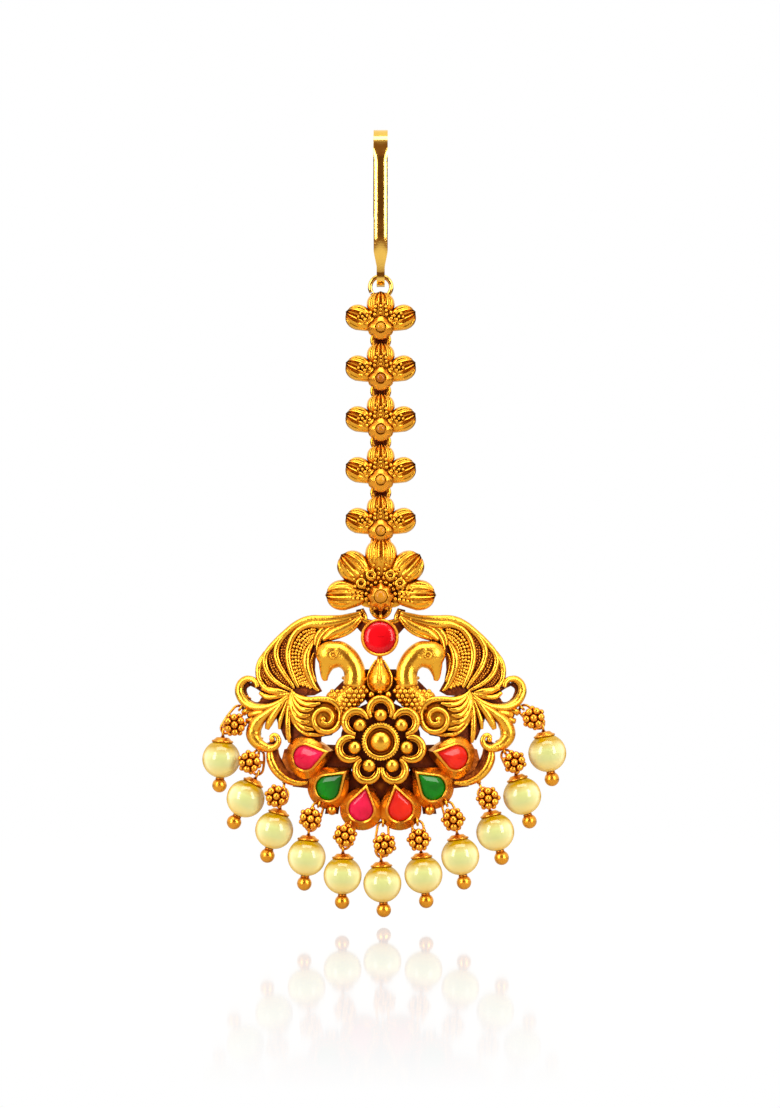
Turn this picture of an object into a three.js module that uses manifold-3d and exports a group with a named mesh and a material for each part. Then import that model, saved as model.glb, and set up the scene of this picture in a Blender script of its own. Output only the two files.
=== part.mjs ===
// A maang tikka, the hair ornament worn on the parting: a strip hook, a chain of cast flower
// links, a larger flower, and a domed openwork pendant with two peacocks, set stones and a
// fringe of pearls. Millimetres, +Z up, the front faces -Y.
// The origin is the inside of the hook's bend, where the hair bears on it.
import * as THREE from "three";
import { mergeVertices } from "three/addons/utils/BufferGeometryUtils.js";
import Module from "manifold-3d";

const wasm = await Module();
wasm.setup();

// ---- Driving dimensions ----

const HOOK = {
  width: 1.65, thick: 0.7, gap: 4.4, tipZ: -9.5, legEndZ: -13.6, tongueWidth: 0.95, eyeZ: -16.6,
};
const EYE = { radius: 0.55, wire: 0.18 }; // the soldered eyes of the chain
const HOOK_RING = { radius: 1.25, wire: 0.25, z: -17.85 };
const LINK = { count: 5, firstZ: -22.65, pitch: 6.0, back: -0.4, topEye: 3.5, bottomEye: -0.5 };
const LINK_RING = { radius: 1.0, wire: 0.25, below: -1.5 };
const TOP_FLOWER = { z: -54.4, back: -0.5, topEye: 5.25, bottomEye: -0.3 };
const PENDANT_RING = { radius: 1.1, wire: 0.25, z: -55.8 };
const PIVOT_Z = PENDANT_RING.z - PENDANT_RING.radius; // the pendant swings about this line

// The pendant is drawn about the centre of its big flower, x to the right and z up.
const PENDANT_Z = -71.5;
const DOME = { back: -0.78, acrossRise: 4.0, acrossHalf: 17, upRise: 0.9, upHalf: 14 };
const RELIEF = { plate: 0.6, web: 0.75, rib: 1.0, scroll: 0.95, step: 0.11, wing: 1.5, bird: 1.95 };
const ROUND_STONE = { z: 12.15, radius: 1.85, rim: 0.45, wall: 1.7, floor: 0.8 };
const TEARDROP = { radius: 1.38, tip: 2.5, rim: 0.36, collar: 0.85, wall: 1.65, floor: 0.8 };
const STONE_GAP = 0.08; // between a set stone and its bezel
const STONE_THICK = 0.95;

const PEARL = { radius: 2.25, bore: 0.4 };
const PIN = {
  wire: 0.25, ballRadius: 0.88, ballAt: -3.2, capRadius: 1.28, capZ: 2.02, neckZ: 2.7, eyeAt: 3.15,
};
const DROP_EYE = { radius: 0.5, wire: 0.16 };
const OVAL = { halfWidth: 0.85, wire: 0.16 };
const ROSETTE = { radius: 1.25, lobes: 6, thick: 1.1, stand: 1.1, post: 0.3 };

// Each drop: the eye it hangs from, its rosette, its pearl, and the lean of its pin in degrees,
// positive where the pin's top leans to the right.
const DROPS = [
  { lug: [-16.5, 4.0], rosette: [-17.3, 1.9], pearl: [-18.9, -2.2], lean: 4 },
  { lug: [-14.4, -1.1], rosette: [-15.5, -2.5], pearl: [-16.0, -6.85], lean: 26 },
  { lug: [-11.5, -5.6], rosette: [-12.3, -6.5], pearl: [-12.6, -10.55], lean: 15 },
  { lug: [-7.2, -7.3], rosette: [-8.25, -9.1], pearl: [-8.75, -13.7], lean: 5 },
  { lug: [-3.5, -9.6], rosette: [-4.2, -11.1], pearl: [-4.5, -15.85], lean: 1 },
  { lug: [0.3, -9.5], rosette: [0.45, -12.15], pearl: [0.2, -16.8], lean: -3 },
  { lug: [4.3, -9.4], rosette: [4.5, -11.55], pearl: [5.05, -15.75], lean: -6 },
  { lug: [7.7, -7.2], rosette: [8.55, -9.2], pearl: [9.4, -13.6], lean: -8 },
  { lug: [11.9, -5.6], rosette: [12.7, -6.75], pearl: [13.55, -10.8], lean: -14 },
  { lug: [14.6, -1.2], rosette: [15.8, -2.5], pearl: [16.75, -6.55], lean: -16 },
  { lug: [16.6, 4.0], rosette: [18.1, 2.7], pearl: [19.75, -1.5], lean: -10 },
];

// The teardrop stones on one side: the centre of the round end, and the way that it points in
// degrees from +x.
const TEARDROPS = [
  { centre: [2.15, -7.45], points: -80 },
  { centre: [5.72, -5.15], points: -42 },
  { centre: [8.25, -1.8], points: -13 },
];

// Outlines and ribs of the pendant's right side. The left side is its mirror image.
// Outline: x, z.
const TAIL_PLATE = [
  [2.4, 15.25], [4.7, 15.05], [7.0, 14.8], [8.8, 14.7], [10.4, 13.8], [12.0, 12.5], [13.4, 10.9],
  [14.2, 9.1], [14.5, 7.5], [14.0, 6.3], [12.6, 5.4], [10.6, 4.9], [8.6, 5.0], [7.3, 5.4],
  [7.25, 8.0], [7.4, 10.0], [7.0, 11.2], [5.0, 11.6], [3.6, 12.9], [2.2, 14.0],
];
const WING = [
  [4.85, 2.83], [5.2, 4.25], [6.2, 5.1], [7.55, 5.3], [9.0, 5.3], [10.35, 6.0], [10.4, 4.25],
  [9.9, 2.83], [8.9, 1.5], [7.65, 0.8], [6.3, 0.8], [5.3, 1.65],
];
const WEBS = [
  [[6.9, 1.4], [10.8, 1.6], [10.9, -0.8], [7.5, -0.8]],
  [[3.8, -1.9], [7.8, -2.4], [7.9, -4.4], [3.6, -4.0]],
  [[2.4, -3.8], [4.8, -3.6], [4.6, -7.6], [2.6, -7.9]],
  [[8.2, -3.6], [10.4, -4.2], [10.2, -5.2], [7.2, -5.6]],
];
// Rib: x, z, half-width.
const TAIL_RIBS = {
  topEdge: [[2.3, 15.0, 0.25], [5.3, 14.45, 0.48], [8.4, 14.3, 0.4], [11.2, 12.7, 0.34],
    [13.3, 10.3, 0.25]],
  innerLeaf: [[8.0, 12.0, 0.12], [8.6, 10.4, 0.42], [8.5, 8.5, 0.48], [8.0, 6.9, 0.36],
    [7.5, 6.0, 0.2]],
  first: [[7.0, 13.6, 0.2], [9.5, 13.1, 0.3], [10.75, 10.5, 0.32], [10.1, 7.9, 0.3],
    [9.2, 6.1, 0.2]],
  second: [[10.4, 13.1, 0.2], [11.9, 11.3, 0.3], [11.6, 9.2, 0.3], [9.6, 6.4, 0.16]],
  third: [[12.4, 11.5, 0.2], [13.25, 9.6, 0.3], [12.6, 7.4, 0.28], [10.5, 6.0, 0.14]],
  fourth: [[13.9, 9.6, 0.2], [13.8, 7.3, 0.28], [12.4, 5.9, 0.24], [10.8, 5.5, 0.14]],
};
const SCROLLS = {
  upperCurl: [[10.7, 5.0, 0.35], [12.4, 4.35, 0.5], [14.2, 4.1, 0.65], [15.6, 4.8, 0.62],
    [16.05, 6.0, 0.55], [15.6, 7.0, 0.45], [14.8, 7.2, 0.35], [14.35, 6.6, 0.3]],
  upperLeaf: [[11.2, 5.3, 0.2], [12.4, 5.75, 0.4], [13.3, 5.8, 0.42], [14.2, 5.2, 0.25]],
  knobLeaf: [[13.0, 3.7, 0.2], [14.6, 3.3, 0.35], [15.6, 2.75, 0.42]],
  lowerCurl: [[11.1, 4.8, 0.25], [12.6, 3.5, 0.35], [13.9, 2.2, 0.5], [14.5, 0.8, 0.6],
    [14.05, -0.4, 0.5], [13.1, -0.75, 0.4], [12.35, -0.25, 0.32], [12.5, 0.45, 0.25]],
  innerLeaf: [[10.9, 4.6, 0.2], [12.0, 3.1, 0.33], [12.7, 1.6, 0.3]],
  straightLeaf: [[10.3, 4.7, 0.25], [10.6, 2.8, 0.3], [10.7, 0.4, 0.3], [10.4, -0.8, 0.3]],
  longStem: [[12.9, -0.9, 0.4], [12.6, -2.4, 0.55], [12.0, -3.7, 0.6], [10.9, -4.65, 0.6],
    [9.5, -5.0, 0.5], [8.3, -5.0, 0.4]],
};
const NECK = [[6.3, 9.6, 0.85], [5.75, 10.2, 1.25], [4.55, 10.3, 1.15], [3.5, 9.5, 1.05],
  [2.95, 8.4, 1.05], [3.0, 7.1, 1.25], [3.6, 5.7, 1.5], [4.3, 4.2, 1.4]];
const BEAK = [[6.0, 9.4, 0.6], [6.45, 8.3, 0.45], [6.55, 7.1, 0.2]];
const KNOB = { x: 5.6, z: -7.8, radius: 0.7 };
const BUD = [[0, 10.3, 0.8], [0, 9.3, 1.0], [0, 8.0, 1.42], [0, 6.9, 1.35], [0, 5.6, 0.7]];
const TOP_BRIDGE = [
  [-2.9, 15.15], [-1.95, 14.9], [-1.65, 14.1], [1.65, 14.1], [1.95, 14.9], [2.9, 15.15],
  [3.0, 13.2], [-3.0, 13.2],
];
const FOOT_TONGUE = [[-0.95, -4.6], [0.95, -4.6], [0.8, -8.9], [-0.6, -8.9]];
const BIG_FLOWER = {
  petals: 7, disc: 4.7, petalAt: 3.45, petalOuter: 1.8, petalInner: 1.22, innerAt: 3.15,
  dotAt: 3.32, dotRadius: 0.77, ringOuter: 2.07, ringInner: 1.7, bossRadius: 1.3,
  discBack: -0.42, discFront: -1.35, petalFront: -2.45, ringFront: -2.7, dotY: -1.7, bossY: -1.9,
};

// ---- Shape helpers ----

// A closed geometry as a solid.
function solid(geometry) {
  const bare = geometry.index ? geometry.toNonIndexed() : geometry.clone();
  bare.deleteAttribute("normal");
  bare.deleteAttribute("uv");
  const merged = mergeVertices(bare, 1e-4);
  return new wasm.Manifold(new wasm.Mesh({
    numProp: 3,
    vertProperties: new Float32Array(merged.attributes.position.array),
    triVerts: new Uint32Array(merged.index.array),
  }));
}

function join(solids) {
  return solids.reduce((whole, piece) => whole.add(piece));
}

function geometryOf(made) {
  const mesh = made.getMesh();
  const geometry = new THREE.BufferGeometry();
  geometry.setAttribute("position", new THREE.BufferAttribute(mesh.vertProperties, 3));
  geometry.setIndex(new THREE.BufferAttribute(mesh.triVerts, 1));
  geometry.computeVertexNormals();
  return geometry;
}

// The pendant's back surface: how far behind y = 0 it lies.
function domeY(x, z) {
  return DOME.back
    + DOME.acrossRise * (x / DOME.acrossHalf) ** 2
    + DOME.upRise * (z / DOME.upHalf) ** 2;
}

// The way that the pendant's front faces at a place.
function domeNormal(x, z) {
  const across = (2 * DOME.acrossRise * x) / DOME.acrossHalf ** 2;
  const up = (2 * DOME.upRise * z) / DOME.upHalf ** 2;
  return new THREE.Vector3(across, -1, up).normalize();
}

// A flat outline in x and z, drawn out towards the front from y = -low to y = -high.
function upright(points, low, high) {
  const shape = new THREE.Shape(points.map(([x, z]) => new THREE.Vector2(x, z)));
  return new THREE.ExtrudeGeometry(shape, { depth: high - low, bevelEnabled: false })
    .rotateX(Math.PI / 2)
    .translate(0, -low, 0);
}

// The same outline laid on the pendant's dome.
function onDome(points, low, high) {
  const geometry = upright(points, low, high);
  const place = geometry.attributes.position;
  for (let i = 0; i < place.count; i += 1) {
    place.setY(i, place.getY(i) + domeY(place.getX(i), place.getZ(i)));
  }
  return solid(geometry);
}

// The outline of a rib of changing width along a smooth line through its rows.
function ribOutline(rows, steps) {
  const line = new THREE.CatmullRomCurve3(rows.map(([x, z, half]) => new THREE.Vector3(x, z, half)));
  const left = [];
  const right = [];
  for (let i = 0; i <= steps; i += 1) {
    const at = line.getPoint(i / steps);
    const along = line.getTangent(i / steps);
    const length = Math.hypot(along.x, along.y);
    const across = [(-along.y / length) * at.z, (along.x / length) * at.z];
    left.push([at.x + across[0], at.y + across[1]]);
    right.push([at.x - across[0], at.y - across[1]]);
  }
  return [...left, ...right.reverse()];
}

function mirrored(rows, side) {
  return rows.map(([x, ...rest]) => [side * x, ...rest]);
}

// A pear outline: a round end about the origin, and a tip behind it. It points along +x.
function pearOutline(radius, tip) {
  const open = Math.acos(radius / tip);
  const steps = 7;
  const points = [[-tip, 0]];
  for (let i = 0; i <= steps; i += 1) {
    const angle = -(Math.PI - open) + (2 * (Math.PI - open) * i) / steps;
    points.push([radius * Math.cos(angle), radius * Math.sin(angle)]);
  }
  return points;
}

function grownPear(extra) {
  const slope = TEARDROP.tip / TEARDROP.radius;
  return pearOutline(TEARDROP.radius + extra, TEARDROP.tip + extra * slope);
}

function turned(points, degrees) {
  const angle = THREE.MathUtils.degToRad(degrees);
  return points.map(([x, z]) => [
    x * Math.cos(angle) - z * Math.sin(angle),
    x * Math.sin(angle) + z * Math.cos(angle),
  ]);
}

// A body of revolution about a line along -y, towards the front. Profile: radius, height.
function turnedToFront(profile, segments) {
  return new THREE.LatheGeometry(profile.map(([r, h]) => new THREE.Vector2(r, h)), segments)
    .rotateX(Math.PI);
}

// A ring lying in the x-z plane, or an eye standing across it, with its hole along x.
function ring({ radius, wire }, sides = 4, steps = 12) {
  return new THREE.TorusGeometry(radius, wire, sides, steps).rotateX(Math.PI / 2);
}

function eye({ radius, wire }, sides = 4, steps = 7) {
  return new THREE.TorusGeometry(radius, wire, sides, steps).rotateY(Math.PI / 2);
}

// A domed petal: half an egg whose flat side is its back. It runs from the origin along +z.
function petal(length, width, height) {
  const egg = new THREE.SphereGeometry(1, 8, 4);
  egg.scale(width / 2, height, length / 2);
  egg.translate(0, 0, length / 2);
  const block = new THREE.BoxGeometry(2 * width, 2 * height, 2 * length);
  block.translate(0, -height, length / 2);
  return solid(egg).intersect(solid(block));
}

function fromMatrix(made, matrix) {
  return solid(geometryOf(made).applyMatrix4(matrix));
}

function placed(made, x, y, z, turn = 0) {
  const matrix = new THREE.Matrix4().makeRotationY(-THREE.MathUtils.degToRad(turn));
  return fromMatrix(made, matrix.setPosition(x, y, z));
}

// ---- Materials ----

const antiqueGold = new THREE.MeshStandardMaterial({ color: 0xd69a2b, roughness: 0.32, metalness: 1 });
const polishedGold = new THREE.MeshStandardMaterial({ color: 0xe0ac38, roughness: 0.18, metalness: 1 });
const pearlCoat = new THREE.MeshStandardMaterial({ color: 0xeee6c4, roughness: 0.25, metalness: 0 });
const redGlass = new THREE.MeshStandardMaterial({ color: 0xd0121c, roughness: 0.12, metalness: 0 });
const pinkGlass = new THREE.MeshStandardMaterial({ color: 0xd81f45, roughness: 0.12, metalness: 0 });
const greenGlass = new THREE.MeshStandardMaterial({ color: 0x0a6a1c, roughness: 0.12, metalness: 0 });

const tikka = new THREE.Group();

function addPiece(name, geometry, material, parent = tikka) {
  const mesh = new THREE.Mesh(geometry, material);
  mesh.name = name;
  parent.add(mesh);
  return mesh;
}

// ---- The hook and its ring ----

// A strip bent back over the hair, with a narrow tongue rolled into an eye at its foot.
function hook() {
  const half = HOOK.gap / 2 + HOOK.thick / 2;
  const bend = HOOK.gap / 2;
  const route = [
    [0, -0.3, HOOK.legEndZ - 0.6], [-0.05, -0.75, -11], [-0.12, -1.5, -7.5], [-0.2, -half * 0.93, -3.6],
    [-0.25, -half, -bend * 0.9], [-0.4, -half * 0.72, HOOK.thick / 2 - bend * 0.32],
    [-0.65, 0, HOOK.thick / 2], [-0.95, half * 0.72, HOOK.thick / 2 - bend * 0.32],
    [-1.15, half, -bend * 0.9], [-1.15, half * 1.02, -5.5], [-1.15, half * 1.15, HOOK.tipZ],
  ].map(([x, y, z]) => new THREE.Vector3(x, y, z));
  const w = HOOK.width / 2;
  const t = HOOK.thick / 2;
  const cut = 0.2;
  const section = new THREE.Shape([
    [-w + cut, -t], [w - cut, -t], [w, -t + cut], [w, t - cut], [w - cut, t], [-w + cut, t],
    [-w, t - cut], [-w, -t + cut],
  ].map(([x, y]) => new THREE.Vector2(x, y)));
  const strip = new THREE.ExtrudeGeometry(section, {
    steps: 18, extrudePath: new THREE.CatmullRomCurve3(route), bevelEnabled: false,
  });
  const tongue = upright([
    [-w, HOOK.legEndZ], [w, HOOK.legEndZ], [HOOK.tongueWidth / 2, HOOK.legEndZ - 1.4],
    [HOOK.tongueWidth / 2, HOOK.eyeZ + EYE.radius], [-HOOK.tongueWidth / 2, HOOK.eyeZ + EYE.radius],
    [-HOOK.tongueWidth / 2, HOOK.legEndZ - 1.4],
  ], -t, t);
  const rolled = new THREE.CylinderGeometry(0.8, 0.8, HOOK.tongueWidth, 12).rotateZ(Math.PI / 2);
  const hole = new THREE.CylinderGeometry(0.44, 0.44, 3, 10).rotateZ(Math.PI / 2);
  return join([solid(strip), solid(tongue), solid(rolled.translate(0, 0, HOOK.eyeZ))])
    .subtract(solid(hole.translate(0, 0, HOOK.eyeZ)));
}

addPiece("hook", geometryOf(hook()), polishedGold);
addPiece("hook_ring", ring(HOOK_RING).translate(0, 0, HOOK_RING.z), polishedGold);

// ---- The flower links and their rings ----

// A lobed collet with a recess for a small stone.
function collet(outer, inner, height) {
  const wall = turnedToFront([
    [0, 0], [outer, 0], [outer, height * 0.75], [outer - 0.15, height], [inner, height],
    [inner, height - 0.3], [0, height - 0.3],
  ], 8);
  return solid(wall);
}

// Three cast petals, a collet, and an eye behind each end, all about the collet's centre.
function flowerLink() {
  const petals = [
    placed(petal(3.7, 3.0, 1.25), 0, 0, 0.4),
    placed(petal(3.9, 2.7, 1.2), 0.35, 0, 0.15, -66),
    placed(petal(3.9, 2.7, 1.2), -0.35, 0, 0.15, 66),
  ];
  const eyes = [LINK.topEye, LINK.bottomEye].map((z) => solid(eye(EYE).translate(0, -LINK.back, z)));
  return join([...petals, collet(1.15, 0.62, 1.6), ...eyes]);
}

const linkGeometry = geometryOf(flowerLink());
for (let i = 0; i < LINK.count; i += 1) {
  const z = LINK.firstZ - i * LINK.pitch;
  addPiece(`flower_link_${i + 1}`, linkGeometry, antiqueGold).position.set(0, LINK.back, z);
  addPiece(`link_ring_${i + 1}`, ring(LINK_RING), antiqueGold)
    .position.set(0, 0, z + LINK_RING.below);
}

// ---- The large flower above the pendant ----

function topFlower() {
  const petals = [
    placed(petal(5.4, 3.3, 1.4), 0, 0, 0.7),
    ...[-42, 42].map((turn) => placed(petal(5.6, 3.6, 1.4), 0, 0, 0.6, turn)),
    ...[-88, 88].map((turn) => placed(petal(5.9, 3.4, 1.3), 0, 0, 0.35, turn)),
  ];
  const eyes = [TOP_FLOWER.topEye, TOP_FLOWER.bottomEye]
    .map((z) => solid(eye(EYE).translate(0, -TOP_FLOWER.back, z)));
  return join([...petals, collet(1.4, 0.8, 2.0), ...eyes]);
}

addPiece("top_flower", geometryOf(topFlower()), antiqueGold)
  .position.set(0, TOP_FLOWER.back, TOP_FLOWER.z);
addPiece("pendant_ring", ring(PENDANT_RING).translate(0, 0, PENDANT_RING.z), antiqueGold);

// ---- The pendant's frame ----

const pendant = new THREE.Group();
pendant.position.z = PENDANT_Z;
tikka.add(pendant);

// A set stone's place: on the dome, leaning as the dome does.
function seat([x, z], turn) {
  const lean = new THREE.Quaternion()
    .setFromUnitVectors(new THREE.Vector3(0, -1, 0), domeNormal(x, z));
  const spin = new THREE.Quaternion()
    .setFromAxisAngle(new THREE.Vector3(0, 1, 0), -THREE.MathUtils.degToRad(turn));
  return new THREE.Matrix4().compose(
    new THREE.Vector3(x, domeY(x, z), z), lean.multiply(spin), new THREE.Vector3(1, 1, 1),
  );
}

function teardropSeat(row, side) {
  const turn = side > 0 ? row.points : 180 - row.points;
  return seat([side * row.centre[0], row.centre[1]], turn);
}

// A bezel: a sloping collar, a rim wall, and a pocket for the stone.
function teardropBezel(row, side) {
  const collar = solid(upright(grownPear(TEARDROP.collar), 0, 0.9));
  const rim = solid(upright(grownPear(TEARDROP.rim), 0, TEARDROP.wall));
  const pocket = solid(upright(grownPear(STONE_GAP), TEARDROP.floor, 3));
  return fromMatrix(collar.add(rim).subtract(pocket), teardropSeat(row, side));
}

function roundBezel() {
  const outer = ROUND_STONE.radius + ROUND_STONE.rim;
  const inner = ROUND_STONE.radius + STONE_GAP;
  const profile = [
    [0, 0], [outer, 0], [outer, ROUND_STONE.wall], [inner, ROUND_STONE.wall],
    [inner, ROUND_STONE.floor], [0, ROUND_STONE.floor],
  ];
  return solid(turnedToFront(profile, 20).translate(0, domeY(0, ROUND_STONE.z), ROUND_STONE.z));
}

// The seven-petalled flower: crescents round dots, about a ring and a boss.
function bigFlower() {
  const f = BIG_FLOWER;
  const pieces = [
    solid(turnedToFront([[0, 0], [f.disc, 0], [f.disc, f.discBack - f.discFront], [0, f.discBack - f.discFront]], 21)
      .translate(0, f.discBack, 0)),
    solid(new THREE.SphereGeometry(f.bossRadius, 9, 5).translate(0, f.bossY, 0)),
    solid(turnedToFront([
      [f.ringInner, 0], [f.ringOuter, 0], [f.ringOuter, 1.5], [f.ringInner, 1.5], [f.ringInner, 0],
    ], 16).translate(0, f.ringFront + 1.5, 0)),
  ];
  const crescent = new THREE.Shape();
  crescent.absarc(0, f.petalAt, f.petalOuter, -0.45, Math.PI + 0.45, false);
  crescent.absarc(0, f.innerAt, f.petalInner, Math.PI + 0.1, -0.1, true);
  const outline = crescent.getPoints(4).map((p) => [p.x, p.y]);
  for (let i = 0; i < f.petals; i += 1) {
    const turn = (360 / f.petals) * i;
    const angle = THREE.MathUtils.degToRad(90 + turn);
    pieces.push(solid(upright(turned(outline, turn), -f.discBack, -f.petalFront)));
    pieces.push(solid(new THREE.SphereGeometry(f.dotRadius, 6, 4)
      .translate(f.dotAt * Math.cos(angle), f.dotY, f.dotAt * Math.sin(angle))));
  }
  return pieces;
}

// One side's bird, tail, wing, scrolls, webs and bezels.
function frameSide(side) {
  const rib = (rows, steps, low, high) => onDome(ribOutline(mirrored(rows, side), steps), low, high);
  const flat = (points, low, high) => onDome(mirrored(points, side), low, high);
  return [
    flat(TAIL_PLATE, 0, RELIEF.plate),
    flat(WING, -0.15, RELIEF.wing),
    ...WEBS.map((web) => flat(web, 0.35, RELIEF.web)),
    ...Object.values(TAIL_RIBS).map((rows, i) => (
      rib(rows, rows.length - 1, 0.32, RELIEF.rib + i * RELIEF.step)
    )),
    ...Object.values(SCROLLS).map((rows, i) => (
      rib(rows, rows.length, 0.02 + i * 0.04, RELIEF.scroll + i * RELIEF.step)
    )),
    rib(NECK, 8, -0.1, RELIEF.bird),
    rib(BEAK, 2, 0.4, 1.3),
    solid(new THREE.SphereGeometry(KNOB.radius, 7, 5)
      .translate(side * KNOB.x, domeY(KNOB.x, KNOB.z) - 0.5, KNOB.z)),
    ...TEARDROPS.map((row) => teardropBezel(row, side)),
  ];
}

// Where a drop's eyes stand, how far its pin's eye is from the pearl, and the ways between them.
function dropLayout({ lug, rosette, pearl, lean }) {
  const tilt = THREE.MathUtils.degToRad(lean);
  const y = domeY(...lug) - 0.35;
  const top = new THREE.Vector3(lug[0], y, lug[1]);
  const centre = new THREE.Vector3(pearl[0], y, pearl[1]);
  const up = new THREE.Vector3(Math.sin(tilt), 0, Math.cos(tilt));
  const foot = centre.clone().addScaledVector(up, PIN.eyeAt);
  const down = foot.clone().sub(top).normalize();
  return { top, foot, centre, up, down, y, rosette: new THREE.Vector3(rosette[0], y, rosette[1]), lean: tilt };
}

// An eye with its hole across the way that the drop hangs, and the stub that holds it.
function lug(drop) {
  const { top, down } = dropLayout(drop);
  const turn = Math.atan2(-down.x, -down.z);
  const made = join([
    solid(eye(DROP_EYE)),
    solid(new THREE.BoxGeometry(0.6, 0.6, 1.1).translate(0, 0, DROP_EYE.radius + 0.45)),
  ]);
  const matrix = new THREE.Matrix4().makeRotationY(turn).setPosition(top);
  return fromMatrix(made, matrix);
}

const frame = join([
  ...frameSide(1),
  ...frameSide(-1),
  ...bigFlower(),
  roundBezel(),
  onDome(ribOutline(BUD, 6), 0.15, 1.7),
  onDome(TOP_BRIDGE, 0, 0.7),
  onDome(FOOT_TONGUE, 0.1, 0.8),
  solid(eye(EYE).translate(0, 0, PIVOT_Z - PENDANT_Z)),
  ...DROPS.map(lug),
]);
addPiece("pendant_frame", geometryOf(frame), antiqueGold, pendant);

// ---- The stones ----

function cutStone(outline) {
  const bevel = 0.22;
  const body = new THREE.ExtrudeGeometry(
    new THREE.Shape(outline.map(([x, z]) => new THREE.Vector2(x, z))),
    { depth: STONE_THICK - bevel, bevelEnabled: true, bevelSegments: 1, bevelThickness: bevel,
      bevelSize: 0.3, bevelOffset: -0.3 },
  );
  // The back of the bevelled form is cut flat.
  const front = new THREE.BoxGeometry(8, 8, 4).translate(0, 0, 2);
  const flatBacked = geometryOf(solid(body).intersect(solid(front)));
  return flatBacked.rotateX(Math.PI / 2).translate(0, -TEARDROP.floor - STONE_GAP, 0);
}

const roundOutline = new THREE.Path().absarc(0, 0, ROUND_STONE.radius, 0, 2 * Math.PI)
  .getPoints(9).slice(0, -1).map((p) => [p.x, p.y]);
addPiece("round_stone", cutStone(roundOutline), redGlass, pendant)
  .position.set(0, domeY(0, ROUND_STONE.z), ROUND_STONE.z);

// Numbered from the left of the fan to the right.
const teardropMaterials = [pinkGlass, greenGlass, pinkGlass, redGlass, greenGlass, redGlass];
teardropMaterials.forEach((material, i) => {
  const side = i < 3 ? -1 : 1;
  const row = TEARDROPS[i < 3 ? 2 - i : i - 3];
  const stone = addPiece(`teardrop_stone_${i + 1}`, cutStone(grownPear(0)), material, pendant);
  stone.applyMatrix4(teardropSeat(row, side));
});

// ---- The drops ----

// A rosette soldered to the oval ring that links the frame's eye to the pearl's pin.
function rosette(drop) {
  const { top, foot, down, y, rosette: place } = dropLayout(drop);
  const length = top.distanceTo(foot);
  const across = new THREE.Vector3(-down.z, 0, down.x);
  const at = (sideways, along) => top.clone()
    .addScaledVector(across, sideways).addScaledVector(down, along);
  const w = OVAL.halfWidth;
  const oval = new THREE.CatmullRomCurve3([
    at(0, 0), at(w * 0.8, 0.3), at(w, 0.85), at(w, length - 0.85), at(w * 0.8, length - 0.3),
    at(0, length), at(-w * 0.8, length - 0.3), at(-w, length - 0.85), at(-w, 0.85), at(-w * 0.8, 0.3),
  ], true);
  const turn = Math.atan2(across.z, across.x);
  const middle = at(0, length / 2);
  const bar = new THREE.BoxGeometry(2 * w, 0.3, 0.4).rotateY(-turn).translate(...middle.toArray());
  const post = new THREE.BoxGeometry(0.6, ROSETTE.stand + 0.3, 0.4)
    .rotateY(-turn).translate(middle.x, y - ROSETTE.stand / 2 - 0.1, middle.z);
  const lobed = [];
  for (let i = 0; i < 2 * ROSETTE.lobes; i += 1) {
    const radius = ROSETTE.radius * (i % 2 ? 0.86 : 1);
    const angle = (Math.PI * i) / ROSETTE.lobes;
    lobed.push([radius * Math.cos(angle), radius * Math.sin(angle)]);
  }
  const cluster = upright(lobed, ROSETTE.stand, ROSETTE.stand + ROSETTE.thick)
    .translate(place.x, y, place.z);
  return join([
    solid(new THREE.TubeGeometry(oval, 12, OVAL.wire, 4, true)),
    solid(bar), solid(post), solid(cluster),
  ]);
}

// A ball head, a wire through the pearl, a cap on top of it, and an eye.
function pearlPin() {
  const p = PIN;
  const ball = [-90, -50, -10, 30, 60].map((degrees) => {
    const angle = THREE.MathUtils.degToRad(degrees);
    return [p.ballRadius * Math.cos(angle), p.ballAt + p.ballRadius * Math.sin(angle)];
  });
  ball[0][0] = 0;
  const profile = [
    ...ball, [p.wire, p.ballAt + p.ballRadius * 0.96], [p.wire, PEARL.radius + 0.1],
    [p.capRadius, p.capZ], [p.capRadius, p.capZ + 0.16], [0.5, p.neckZ - 0.05], [0, p.neckZ],
  ];
  const turnedPin = new THREE.LatheGeometry(profile.map(([r, h]) => new THREE.Vector2(r, h)), 7)
    .rotateX(Math.PI / 2);
  return join([solid(turnedPin), solid(eye(DROP_EYE).translate(0, 0, p.eyeAt))]);
}

// A bored pearl.
function pearl() {
  const from = Math.asin(PEARL.bore / PEARL.radius);
  const steps = 7;
  const profile = [];
  for (let i = 0; i <= steps; i += 1) {
    const angle = from + ((Math.PI - 2 * from) * i) / steps;
    profile.push(new THREE.Vector2(PEARL.radius * Math.sin(angle), -PEARL.radius * Math.cos(angle)));
  }
  profile.push(profile[0].clone());
  return new THREE.LatheGeometry(profile, 10).rotateX(Math.PI / 2);
}

const pinGeometry = geometryOf(pearlPin());
const pearlGeometry = pearl();
DROPS.forEach((drop, i) => {
  const { centre, lean } = dropLayout(drop);
  addPiece(`rosette_${i + 1}`, geometryOf(rosette(drop)), antiqueGold, pendant);
  [["pearl", pearlGeometry, pearlCoat], ["pearl_pin", pinGeometry, antiqueGold]]
    .forEach(([name, geometry, material]) => {
      const piece = addPiece(`${name}_${i + 1}`, geometry, material, pendant);
      piece.position.copy(centre);
      piece.rotation.y = lean;
    });
});

export default tikka;
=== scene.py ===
import math
import random

import bpy
from mathutils import Matrix, Vector


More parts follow.
